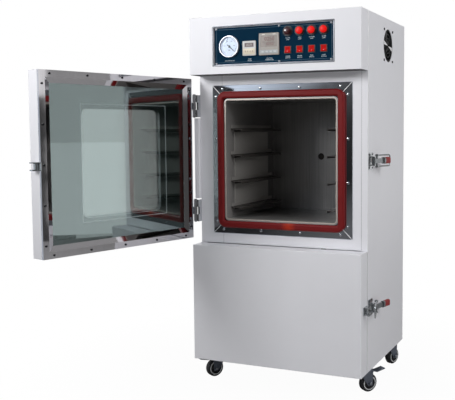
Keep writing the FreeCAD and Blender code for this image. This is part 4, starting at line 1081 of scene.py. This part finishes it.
        # White is what the camera sees round the object, directly or through glass.
        direct = add(tree, "Math", {"operation": "LESS_THAN", 1: 0.5}, {0: ray["Diffuse Depth"]})
        through = add(tree, "Math", {"operation": "MULTIPLY"}, {0: ray["Is Transmission Ray"], 1: direct})
        seen = add(tree, "Math", {"operation": "MAXIMUM"}, {0: ray["Is Camera Ray"], 1: through})
        base = add(tree, "Background", {"Color": grey(0.8), "Strength": self.surround})
        shine = add(tree, "Background", {"Strength": 1.0}, {"Color": sides.outputs[2]})
        white = add(tree, "Background", {"Color": grey(1.0), "Strength": 1.0})
        first = add(tree, "MixShader", links={0: ray["Is Glossy Ray"], 1: base, 2: shine})
        last = add(tree, "MixShader", links={0: seen, 1: first, 2: white})
        add(tree, "OutputWorld", links={"Surface": last})

    def floor(self) -> None:
        """Pale floor that fades into the white background."""
        floor = primitive(bpy.ops.mesh.primitive_plane_add, size=7.0, location=(0.0, 0.6, 0.0))
        floor.name = "floor"
        material = bpy.data.materials.new("seamless_paper_white")
        material.use_nodes = True
        tree = material.node_tree
        tree.nodes.clear()
        place = add(tree, "TexCoord").outputs["Object"]
        far = add(tree, "VectorMath", {"operation": "LENGTH"}, {0: place}).outputs["Value"]
        fade = add(tree, "MapRange", {"From Min": self.fade[0], "From Max": self.fade[1], "To Min": 0.97},
                   {"Value": far})
        share = add(tree, "Math", {"operation": "MULTIPLY"}, {
            0: fade, 1: add(tree, "LightPath").outputs["Is Camera Ray"]})
        paper = add(tree, "BsdfDiffuse", {"Color": grey(self.paper)})
        glow = add(tree, "Emission", {"Color": grey(1.0), "Strength": 1.0})
        both = add(tree, "MixShader", links={0: share, 1: paper, 2: glow})
        add(tree, "OutputMaterial", links={"Surface": both})
        floor.data.materials.append(material)

    def build(self) -> None:
        """Set the whole studio up."""
        bpy.context.scene.view_settings.view_transform = "Standard"
        self.camera()
        self.world()
        self.floor()
        for lamp in self.lamps:
            lamp.place()


@dataclass
class Cabinet:
    """Painted body, hidden structure and the pump bay."""

    side_x: float = 0.310
    rear_y: float = 0.231
    front_y: float = -0.2308
    top_z: float = 1.285
    floor_gap: float = 0.090
    rear_rows: tuple[float, ...] = (0.14, 0.42, 0.70, 0.98, 1.26)
    rear_columns: tuple[float, ...] = (-0.15, 0.0, 0.15)
    rear_ends: Pair = (0.125, 1.276)
    grommet_at: Pair = (-0.25, 0.15)
    grommet_radii: Pair = (0.0085, 0.0022)
    seam_x: Pair = (-0.2217, 0.2897)
    seam_z: Pair = (0.5015, 1.0915)
    seam_half: float = 0.0005
    filler: tuple[Triple, Triple] = ((-0.3272, -0.2455, 0.6585), (-0.3103, -0.2215, 0.9435))

    def rear_screws(self) -> None:
        """Screws round the rear panel's edge."""
        edge_x = self.side_x - 0.009
        places = [(x, self.rear_y, z) for z in self.rear_rows for x in (-edge_x, edge_x)]
        places += [(x, self.rear_y, z) for x in self.rear_columns for z in self.rear_ends]
        settle(ScrewKit().row(places, Side.BACK), "rear_panel_screws", SCREW_STEEL)

    def cable_grommet(self) -> None:
        """Rubber ring in the rear cable entry, fuller towards the rear."""
        x, z = self.grommet_at
        ring = primitive(bpy.ops.mesh.primitive_torus_add, major_segments=32, minor_segments=10,
                         location=(x, self.rear_y, z), rotation=(math.radians(90), 0.0, 0.0),
                         major_radius=self.grommet_radii[0], minor_radius=self.grommet_radii[1])
        with picked(ring, lambda face: face.calc_center_median().y > self.rear_y + 0.0012):
            bpy.ops.transform.translate(value=(0.0, 0.0006, 0.0))
        settle(ring, "cable_grommet", DOOR_SEAL)

    def front_seams(self) -> None:
        """Shadowed joints beside the middle front sheet."""
        (low, high), half, front = self.seam_z, self.seam_half, self.front_y
        seams = [block((x - half, front, low), (x + half, front + 0.0012, high)) for x in self.seam_x]
        settle(joined(seams), "front_joint_lines", SHADOW_GAP)

    def hinge_bar(self) -> None:
        """Painted filler bar on the side wall between the two door hinges."""
        settle(soften(block(*self.filler), 0.0012), "hinge_filler_bar", WHITE_PAINT)

    def edge_bead(self) -> None:
        """Rounded front edge of the right side sheet, which catches the light; its whiter colour is partly
        painted highlight.
        """
        bead = block((self.side_x - 0.0002, self.front_y, self.floor_gap + 0.001),
                     (self.side_x + 0.0018, self.front_y + 0.0038, self.top_z - 0.001))
        settle(soften(bead, 0.0013, 3), "side_sheet_edge", WHITE_TRIM_AND_HIGHLIGHT)

    def soffit(self) -> None:
        """Dark grey sheet under the header, as painted shade where the header's underside lies in shadow."""
        low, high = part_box("header_box")
        sheet = block((low.x + 0.0015, low.y + 0.0020, low.z - 0.0008),
                      (high.x - 0.0015, high.y - 0.0015, low.z + 0.0001))
        settle(soften(sheet, 0.0003, 1), "header_soffit_sheet", SOFFIT_PAINTED_SHADE)

    def build(self) -> None:
        """Dress the body's nodes and add its small parts."""
        dress_nodes(WHITE_PAINT, "cabinet_shell", "front_panel", "rear_panel", "pump_door", "header_box",
                    "door_shell")
        dress_nodes(ZINC, "inner_frame", "caster_plates")
        dress_nodes(ROCKWOOL, "insulation")
        dress_nodes(HEATER_MAT, "heaters")
        dress_nodes(PIPE_PAINTED_SHADE, "vacuum_line")
        dress_nodes(GREY_CASTING, "vacuum_pump")
        self.rear_screws()
        self.cable_grommet()
        self.front_seams()
        self.hinge_bar()
        self.edge_bead()
        self.soffit()


@dataclass
class Chamber:
    """Stainless chamber, its flange, seal and rails."""

    middle_z: float = 0.797
    half_size: Pair = (0.204, 0.207)
    mouth_corner: float = 0.009
    mouth_y: float = -0.240
    mouth_wall: float = 0.0032
    flange_face: float = -0.234
    flange_half: Pair = (0.259, 0.2605)
    screws: ScrewKit = ScrewKit(0.0042, 0.0024)
    screw_inset: float = 0.0145
    screw_offsets: tuple[float, ...] = (-0.219, -0.073, 0.073, 0.219)
    seam_half: float = 0.0010
    seal_width: float = 0.024
    seal_gap: float = 0.0075
    seal_front: float = -0.2497
    seal_corner: float = 0.030

    def flange_screws(self) -> None:
        """Four screws along each side of the flange."""
        half_x, half_z = (half - self.screw_inset for half in self.flange_half)
        places = []
        for offset in self.screw_offsets:
            places += [(offset, self.flange_face, self.middle_z + half_z),
                       (offset, self.flange_face, self.middle_z - half_z),
                       (half_x, self.flange_face, self.middle_z + offset),
                       (-half_x, self.flange_face, self.middle_z + offset)]
        settle(self.screws.row(places, Side.FRONT), "flange_screws", SCREW_STEEL)

    def mitre_seams(self) -> None:
        """Weld lines across the flange's four corners, pale partly as ground welds and partly as painted
        highlight.
        """
        reach = self.flange_half[0] - self.half_size[0] - 0.012
        half = reach * math.sqrt(2) / 2
        seams = []
        for side_x in (-1, 1):
            for side_z in (-1, 1):
                seam = block((-half, self.flange_face - 0.0004, -self.seam_half),
                             (half, self.flange_face + 0.0005, self.seam_half))
                middle = (side_x * (self.flange_half[0] - reach / 2), 0.0,
                          self.middle_z + side_z * (self.flange_half[1] - reach / 2))
                seams.append(soften(swung(seam, -45 * side_x * side_z, "Y", middle), 0.0002, 1))
        settle(joined(seams), "flange_mitre_seams", WELD_LINE_HIGHLIGHT)

    def mouth_edge(self) -> None:
        """Ground and dressed edge of the mouth, brighter than the walls behind it: partly pale ground steel,
        partly painted highlight.
        """
        edge = plate(tuple(2 * (half + self.mouth_wall) for half in self.half_size),
                     self.mouth_corner + self.mouth_wall, (self.mouth_y - 0.0004, self.mouth_y + 0.0002),
                     (0.0, self.middle_z), 8)
        settle(hollow(edge, self.mouth_wall), "mouth_ground_edge", GROUND_EDGE_HIGHLIGHT)

    def seal(self) -> None:
        """Crowned silicone seal round the mouth."""
        growth = self.seal_gap + self.seal_width
        ring = plate(tuple(2 * (half + growth) for half in self.half_size), self.seal_corner,
                     (self.seal_front + 0.0012, self.flange_face - 0.0003), (0.0, self.middle_z), 8)
        soften(hollow(ring, self.seal_width), 0.0055, 4, 50.0)
        with picked(ring, lambda face: face.normal.y < -0.95):
            bpy.ops.mesh.inset(thickness=0.003, depth=0.0)
            bpy.ops.transform.translate(value=(0.0, -0.0010, 0.0))
        settle(ring, "mouth_seal", SILICONE, stands_for=["gasket"], smooth=60.0)

    def build(self) -> None:
        """Dress the chamber's nodes and add its pieces."""
        dress_nodes(SATIN_STEEL, "chamber")
        dress_nodes(FLANGE_STEEL, "chamber_flange")
        dress_nodes(LEDGE_STEEL, "shelf_rails")
        self.flange_screws()
        self.mitre_seams()
        self.mouth_edge()
        self.seal()


@dataclass
class Header:
    """Instrument header: panel print, gauge, modules, lamps, switches and fan.

    The places of instruments are across from the middle and up from panel_z.
    """

    panel_z: float = 1.185
    panel_face: float = -0.294
    panel_size: Pair = (0.4352, 0.1292)
    trim_depth: Pair = (-0.3016, -0.2995)
    screw_x: Triple = (-0.2085, 0.026, 0.2085)
    gauge: Pair = (-0.158, -0.002)
    gauge_caption_z: float = -0.0520
    gauge_ring: Triple = (0.0345, 0.0022, 0.0005)
    needle_angle: float = -40.0
    needle_reach: Pair = (-0.0090, 0.0300)
    needle_half: float = 0.0010
    scale_start: float = -45.0
    scale_sweep: float = 270.0
    ticks: int = 50
    tick_end: float = 0.0278
    long_tick: Pair = (0.0232, 0.0003)
    short_tick: Pair = (0.0252, 0.0002)
    numbers: tuple[str, ...] = ("0", ".02", ".04", ".06", ".08", ".1")
    number_radius: float = 0.0186
    number_size: float = 0.0052
    timer: Pair = (-0.083, -0.011)
    timer_window: Pair = (0.0338, 0.0138)
    timer_window_z: float = 0.011
    timer_cover: Pair = (0.0430, 0.0195)
    preset_x: tuple[float, ...] = (-0.0129, -0.0043, 0.0043, 0.0129)
    preset_z: float = -0.0100
    preset_size: float = 0.0072
    controller_x: float = -0.0105
    controller_window: Pair = (0.0596, 0.0370)
    light_bar: Pair = (0.011, 0.0028)
    light_bar_at: Pair = (0.0195, 0.0315)
    key_strip: Pair = (0.0640, 0.0112)
    key_z: float = -0.025
    key_gap: float = 0.0003
    module_caption_z: float = -0.0490
    columns: tuple[float, ...] = (0.056, 0.098, 0.140, 0.182)
    lamp_z: float = 0.0385
    lamp_caption_z: float = 0.0138
    rocker_z: float = -0.022
    rocker_caption_z: float = -0.0455
    module_face: float = -0.299
    wall_x: float = 0.310
    fan_centre: Pair = (0.009, 1.193)
    fan_half: float = 0.0525
    caption_size: float = 0.0046
    caption_lines: Pair = (0.0024, -0.0028)
    bold: float = 0.0002

    def frame_plate(self, grow: float, corner: float, wall: float, depth: Pair) -> Piece:
        """Thin frame that follows the panel's edge.

        Args:
            grow: How much wider and higher it is than the panel.
            corner: Outer corner radius.
            wall: Width of its bars.
            depth: Its front and back plane.

        Returns:
            The new object.
        """
        size = tuple(side + grow for side in self.panel_size)
        return hollow(plate(size, corner, depth, (0.0, self.panel_z), 3), wall)

    def panel_frames(self) -> None:
        """Printed border line, trim round the recess and the panel's inner lip; the trim and lip are coloured
        dark as painted shade in the recess.
        """
        face = self.panel_face
        line = self.frame_plate(-0.018, 0.003, 0.0009, (face - 0.0001, face + 0.0003))
        settle(line, "panel_border_line", INK_FAINT)
        trim = self.frame_plate(0.0068, 0.0022, 0.0030, self.trim_depth)
        settle(soften(trim, 0.0005), "panel_trim", TRIM_STEEL_AND_SHADE)
        lip = self.frame_plate(-0.0004, 0.0012, 0.0034, (face - 0.0010, face + 0.0002))
        settle(soften(lip, 0.0004), "panel_inner_lip", TRIM_STEEL_AND_SHADE)

    def labels(self) -> None:
        """Plain generic words under each instrument."""
        captions = [(self.gauge[0], self.gauge_caption_z, "VACUUM GAUGE"),
                    (self.timer[0], self.module_caption_z, "TIMER/HOURS"),
                    (self.controller_x, self.module_caption_z, "CONTROL/TEMPERATURE")]
        for z, kind, names in ((self.lamp_caption_z, "LAMP", ("POWER", "HEAT", "VACUUM", "ALARM")),
                               (self.rocker_caption_z, "SWITCH", ("POWER", "HEATER", "PUMP", "LIGHT"))):
            captions += [(x, z, f"{name}/{kind}") for x, name in zip(self.columns, names)]
        rows = []
        for x, z, caption in captions:
            for text, drop in zip(caption.split("/"), self.caption_lines):
                at = (x, self.panel_face - 0.00003, self.panel_z + z + drop)
                rows.append(words(text, self.caption_size, at, 0.00014))
        settle(joined(rows), "panel_words", INK_LIGHT)

    def panel_screws(self) -> None:
        """Six screws of the panel plate."""
        edge = self.panel_size[1] / 2 - 0.0065
        places = [(x, self.panel_face, self.panel_z + z) for x in self.screw_x for z in (-edge, edge)]
        settle(ScrewKit(0.0034, 0.0020).row(places, Side.FRONT), "panel_screws", DULL_SCREW)

    def dial_marks(self) -> None:
        """Scale ring, ticks and numbers of the vacuum gauge."""
        x, z = self.gauge[0], self.panel_z + self.gauge[1]
        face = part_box("gauge_dial")[0].y
        marks = []
        for index in range(self.ticks + 1):
            start, half = self.short_tick if index % 5 else self.long_tick
            tick = block((start, face - 0.00012, -half), (self.tick_end, face + 0.0001, half))
            angle = self.scale_start + self.scale_sweep * index / self.ticks
            marks.append(swung(tick, -angle, "Y", (x, 0.0, z)))
        for index, number in enumerate(self.numbers):
            angle = math.radians(self.scale_start + self.scale_sweep * index / (len(self.numbers) - 1))
            across, up = self.number_radius * math.cos(angle), self.number_radius * math.sin(angle)
            marks.append(words(number, self.number_size, (x + across, face - 0.0001, z + up)))
        marks.append(words("MPa", 0.0050, (x, face - 0.0001, z - 0.0130)))
        settle(joined(marks), "gauge_scale", INK_DARK)

    def gauge_rim(self) -> None:
        """Grey inner ring between the glass and the rolled bezel, coloured dark as painted shade between the
        rim and the dial.
        """
        radius, wall, depth = self.gauge_ring
        at = (self.gauge[0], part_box("gauge_glass")[0].y - depth / 2, self.panel_z + self.gauge[1])
        ring = hollow(disc(at, radius, depth, Side.FRONT.value, 64), wall)
        settle(ring, "gauge_retaining_ring", TRIM_STEEL_AND_SHADE)

    def pointer(self) -> None:
        """Painted pointer on the gauge's needle, reaching to the scale."""
        (tail, tip), half = self.needle_reach, self.needle_half
        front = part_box("gauge_needle")[0].y
        blade = block((tail, front - 0.0005, -half), (tip, front - 0.0001, half))
        tapered(blade, Side.RIGHT.value, 0.25)
        swung(blade, -self.needle_angle, "Y", (self.gauge[0], 0.0, self.panel_z + self.gauge[1]))
        settle(blade, "needle_pointer", INK_DARK, "needle")

    def window(self, size: Pair, corner: float, at: Pair, name: str, finish: Finish) -> None:
        """Display window, set back a little in its module.

        Args:
            size: Its width and height.
            corner: Corner radius.
            at: Its middle.
            name: Its name.
            finish: Its finish.
        """
        depth = (self.module_face + 0.0006, self.module_face + 0.0013)
        settle(plate(size, corner, depth, (at[0], self.panel_z + at[1]), 3), name, finish)

    def digits(self, text: str, size: float, at: Pair, name: str, finish: Finish) -> None:
        """Row of display characters in front of a window.

        Args:
            text: The characters.
            size: Height of their body.
            at: Their middle.
            name: Name of the row.
            finish: Its finish.
        """
        place = (at[0], self.module_face + 0.0005, self.panel_z + at[1])
        settle(words(text, size, place, self.bold), name, finish)

    def timer_face(self) -> None:
        """Display, preset wheels and frame of the timer."""
        x, z = self.timer
        self.window(self.timer_window, 0.001, (x, z + self.timer_window_z), "timer_window", DISPLAY)
        self.digits("0030", 0.0105, (x, z + self.timer_window_z), "timer_digits", DISPLAY_GREY)
        skirt = plate(self.timer_cover, 0.0012, (self.module_face - 0.0006, self.module_face + 0.0004),
                      (x, self.panel_z + z - 0.0105), 3)
        settle(soften(skirt, 0.0003), "timer_lower_cover", CREAM)
        wheels = []
        for offset, number in zip(self.preset_x, "0030"):
            at = (x + offset, self.module_face - 0.0007, self.panel_z + z + self.preset_z)
            wheels.append(words(number, self.preset_size, at, 0.0001))
        settle(joined(wheels), "timer_preset_numbers", SEGMENTS)

    def controller_face(self) -> None:
        """Display rows, light bars and key row of the controller."""
        x, face, gap = self.controller_x, self.module_face, self.key_gap
        self.window(self.controller_window, 0.0015, (x, 0.009), "controller_window", DISPLAY_GREY)
        self.digits("0250", 0.0185, (x + 0.002, 0.0165), "controller_upper_digits", SEGMENTS)
        self.digits("0250", 0.0135, (x + 0.004, -0.0005), "controller_lower_digits", SEGMENTS)
        bars = []
        across, up = self.light_bar_at
        for place in (x - across, x + across):
            bar = plate(self.light_bar, 0.0008, (face - 0.0003, face + 0.0002), (place, self.panel_z + up), 2)
            bars.append(soften(bar, 0.0002, 1))
        settle(joined(bars), "controller_light_bars", SEGMENTS_LIGHT)
        strip = plate(self.key_strip, 0.001, (face - 0.0004, face + 0.0004),
                      (x, self.panel_z + self.key_z), 2)
        for index in range(1, 5):
            low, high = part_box(f"controller_key_{index}")
            hole = block((low.x - gap, face - 0.01, low.z - gap), (high.x + gap, face + 0.01, high.z + gap))
            cut_out(strip, hole)
        settle(strip, "controller_key_strip", KEY_STRIP)

    def lamp_rings(self) -> None:
        """Front rings and panel gaskets of the pilot lamps."""
        for name, finish, slot, lift, radius, wall, depth, edge, steps in (
                ("lamp_trim_rings", LAMP_RING, "chrome", 0.0045, 0.0136, 0.0013, 0.0012, 0.0003, 1),
                ("lamp_gaskets", BLACK_ABS, "black_plastic", 0.0009, 0.0176, 0.0034, 0.0018, 0.0005, 2)):
            rings = []
            for x in self.columns:
                at = (x, self.panel_face - lift, self.panel_z + self.lamp_z)
                rings.append(soften(hollow(disc(at, radius, depth, Side.FRONT.value, 48), wall), edge, steps))
            settle(joined(rings), name, finish)

    def rocker_marks(self) -> None:
        """On and off marks moulded on each rocker."""
        for index, x in enumerate(self.columns, 1):
            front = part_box(f"rocker_{index}")[0].y
            for mark, size, lift, z, name, finish in (("I", 0.0052, 0.0002, 0.0062, "on", INK_RED),
                                                      ("O", 0.0044, 0.0014, -0.0058, "off", INK_LIGHT)):
                at = (x, front + lift, self.panel_z + self.rocker_z + z)
                piece = words(mark, size, at, self.bold)
                settle(piece, f"rocker_{name}_mark_{index}", finish, f"switch_{index}")

    def fan(self) -> None:
        """Fan screws on the right wall, the rotor's hub cap, and two pale wedges on the guard that are
        painted highlight.
        """
        (y, z), half = self.fan_centre, self.fan_half
        places = [(self.wall_x, y + across, z + up) for across in (-half, half) for up in (-half, half)]
        settle(ScrewKit(0.0042, 0.0024).row(places, Side.RIGHT), "fan_screws", DARK_SCREW)
        cap = disc((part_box("fan_impeller")[1].x + 0.0004, y, z), 0.0165, 0.0009, Side.RIGHT.value, 40)
        settle(soften(cap, 0.0004), "fan_hub_cap", BLACK_ABS, "fan_rotor")
        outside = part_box("fan_guard")[1].x
        highlight_wedges = []
        # Painted highlight: two pale wedges, one on each side of the hub.
        for turn in (171.0, -11.0):
            highlight_wedge = block((outside + 0.0002, 0.008, -0.0064), (outside + 0.0009, 0.050, 0.0064))
            highlight_wedges.append(swung(tapered(highlight_wedge, Side.FRONT.value, 0.15), turn, "X", (0.0, y, z)))
        settle(joined(highlight_wedges), "fan_guard_wings", WHITE_TRIM_AND_HIGHLIGHT)

    def build(self) -> None:
        """Dress the header's nodes and add its pieces."""
        for node, finish in (
                ("control_panel", PANEL_PAINT), ("gauge_case", BEZEL), ("gauge_dial", DIAL),
                ("gauge_needle", INK_DARK), ("gauge_glass", CLEAR_PANE), ("timer_body", TIMER_SILVER),
                ("controller_body", MODULE_GREY), ("lamp_bezels", LAMP_RING), ("lamp_lenses", LAMP_RED),
                ("fan_guard", DARK_SCREW)):
            dress_nodes(finish, node)
        dress_nodes(BLACK_ABS, "switch_housings", "fan_frame", "fan_impeller")
        dress_nodes(ROCKER_RED, *(f"rocker_{index}" for index in range(1, 5)))
        dress_nodes(KEY_GREY, *(f"controller_key_{index}" for index in range(1, 5)))
        self.panel_frames()
        self.labels()
        self.panel_screws()
        self.dial_marks()
        self.gauge_rim()
        self.pointer()
        self.timer_face()
        self.controller_face()
        self.lamp_rings()
        self.rocker_marks()
        self.fan()


@dataclass
class OvenDoor:
    """Open oven door with its polished inner frame and two panes.

    Its pieces are drawn on the closed door and then opened with it.
    """

    angle: float = 105.7
    hinge: Pair = (-0.325, -0.248)
    half_size: Pair = (0.308, 0.2805)
    middle_z: float = 0.8005
    inner_y: float = -0.243
    outer_y: float = -0.297
    screw_inset: float = 0.0105
    side_screws: tuple[float, ...] = (-0.240, -0.120, 0.0, 0.120, 0.240)
    end_screws: tuple[float, ...] = (-0.271, -0.1355, 0.0, 0.1355, 0.271)
    window: Pair = (0.325, 0.345)
    window_x: float = -0.018
    shade_sheet_depth: Pair = (-0.2650, -0.2640)
    cut_depth: Pair = (-0.27, -0.26)
    outer_shade_sheet: Pair = (0.570, 0.515)
    channel: float = 0.0246
    opening: Pair = (0.3215, 0.343)
    opening_corner: float = 0.022
    opening_at: Pair = (-0.00775, 0.7995)

    def opened(self, piece: Piece) -> Piece:
        """Turn a piece drawn on the closed door to the stored open pose.

        Args:
            piece: The piece.

        Returns:
            The same piece.
        """
        line = Vector((*self.hinge, 0.0))
        piece.data.transform(Matrix.Translation(-line))
        return swung(piece, -self.angle, "Z", line)

    def frame_screws(self) -> None:
        """Five screws along each bar of the inner frame."""
        half_x, half_z = (half - self.screw_inset for half in self.half_size)
        places = [(x, self.inner_y, self.middle_z + z) for z in self.side_screws for x in (half_x, -half_x)]
        places += [(x, self.inner_y, self.middle_z + z) for x in self.end_screws for z in (half_z, -half_z)]
        row = self.opened(ScrewKit(0.0034, 0.0018).row(places, Side.BACK))
        settle(row, "door_frame_screws", DARK_SCREW, "oven_door")

    def window_seals(self) -> None:
        """Rubber channel round the outer window."""
        seal = plate(tuple(side + 0.006 for side in self.window), 0.025,
                     (self.outer_y - 0.0016, self.outer_y + 0.0035), (self.window_x, self.middle_z), 8)
        soften(hollow(seal, 0.0062), 0.0011)
        settle(self.opened(seal), "window_seal", WINDOW_SEAL, "oven_door")

    def shade_sheets(self) -> None:
        """Dark sheets behind the inner pane, outside and inside the panes' channel: painted shade inside the
        door.
        """
        middle = (self.window_x, self.middle_z)
        outer = plate(self.outer_shade_sheet, 0.0, self.shade_sheet_depth, (0.0, self.middle_z))
        cut_out(outer, plate(tuple(side + self.channel for side in self.window), 0.0, self.cut_depth, middle))
        inner = plate(tuple(side + 0.0196 for side in self.window), 0.0, self.shade_sheet_depth, middle)
        cut_out(inner, plate(self.opening, self.opening_corner, self.cut_depth, self.opening_at, 8))
        for name, sheet in (("door_liner_outer", outer), ("door_liner_inner", inner)):
            settle(self.opened(sheet), name, LINER_PAINTED_SHADE, "oven_door")

    def build(self) -> None:
        """Dress the door's nodes and add its pieces."""
        dress_nodes(CHROME, "door_hinge_leaves", "cabinet_hinges")
        dress_nodes(LATCH_ZINC, "door_catch", "pump_door_keeper", "latch_bases")
        dress_nodes(DOOR_STEEL, "door_inner_frame")
        dress_nodes(DOOR_PANE, "door_glass")
        self.frame_screws()
        self.window_seals()
        self.shade_sheets()


@dataclass
class Latch:
    """Draw latches: plated levers and bails with dipped grips."""

    heights: Pair = (0.797, 0.308)
    plate_face: float = 0.313
    screw_y: Pair = (-0.2205, -0.1855)
    screw_z: float = 0.0225

    def build(self) -> None:
        """Dress both latches and add four screws in each base plate."""
        dress_nodes(LATCH_ZINC, "upper_latch_bail", "lower_latch_bail")
        dress_nodes(LATCH_LEVER, "upper_latch_lever", "lower_latch_lever")
        places = [(self.plate_face, y, z + side * self.screw_z)
                  for z in self.heights for y in self.screw_y for side in (-1, 1)]
        settle(ScrewKit(0.0026, 0.0014).row(places, Side.RIGHT), "latch_plate_screws", DARK_SCREW)


@dataclass
class Casters:
    """Swivel casters with rubber tyres, nylon rims and axle nuts."""

    wheels: tuple[tuple[str, Pair, Pair], ...] = (
        ("front_left", (-0.283928, -0.196032), (0.8192, -0.5736)),
        ("front_right", (0.286212, -0.143721), (-0.766, 0.6428)),
        ("rear_left", (-0.276287, 0.20001), (-0.9397, -0.342)),
        ("rear_right", (0.276287, 0.20001), (-0.9397, 0.342)))
    axle_height: float = 0.0315
    half_width: float = 0.013
    fork_face: float = 0.0172
    rim_radius: float = 0.0242
    rim_wall: float = 0.0036
    rim_depth: float = 0.0012
    nut_radius: float = 0.0062
    nut_depth: float = 0.0036
    end_radius: float = 0.0034
    end_depth: float = 0.0012

    def rims(self, corner: str, middle: Vector, axle: Vector) -> None:
        """Light rim ring on both faces of one wheel.

        Args:
            corner: Corner of the cabinet that the wheel carries.
            middle: The wheel's middle.
            axle: Direction of its axle.
        """
        reach = axle * (self.half_width - self.rim_depth / 2)
        rings = []
        for side in (-reach, reach):
            rim = disc(middle + side, self.rim_radius, self.rim_depth, axle, 40)
            rings.append(hollow(rim, self.rim_wall, axle))
        settle(joined(rings), f"wheel_rim_{corner}", RIM_GREY, f"wheel_{corner}")

    def axle_nuts(self, corner: str, middle: Vector, axle: Vector) -> None:
        """Hexagon nut on each end of one axle.

        Args:
            corner: Corner of the cabinet that the wheel carries.
            middle: The wheel's middle.
            axle: Direction of its axle.
        """
        nuts = []
        nut_middle = self.fork_face + self.nut_depth / 2
        end_middle = self.fork_face + self.nut_depth + self.end_depth / 2
        for side in (-axle, axle):
            nut = disc(middle + side * nut_middle, self.nut_radius, self.nut_depth, axle, 6)
            end = disc(middle + side * end_middle, self.end_radius, self.end_depth, axle, 20)
            nuts += [soften(nut, 0.0005, 2, 20.0), soften(end, 0.0003, 1)]
        settle(joined(nuts), f"axle_nuts_{corner}", SCREW_STEEL, f"fork_{corner}")

    def build(self) -> None:
        """Dress the casters and add their small parts."""
        dress_nodes(CASTER_STEEL, "caster_pedal_front_left", "caster_pedal_front_right")
        for corner, place, axis in self.wheels:
            dress_nodes(CASTER_STEEL, f"caster_fork_{corner}")
            dress_nodes(TYRE, f"caster_wheel_{corner}")
            middle = Vector((*place, self.axle_height))
            axle = Vector((*axis, 0.0)).normalized()
            self.rims(corner, middle, axle)
            self.axle_nuts(corner, middle, axle)


def main() -> None:
    """Build the studio and every sub-assembly."""
    logging.basicConfig(level=logging.INFO, format="%(name)s: %(message)s")
    for part in (Studio(), Cabinet(), Chamber(), Header(), OvenDoor(), Latch(), Casters()):
        part.build()
        LOG.info("built %s", type(part).__name__)


if __name__ == "__main__":
    main()
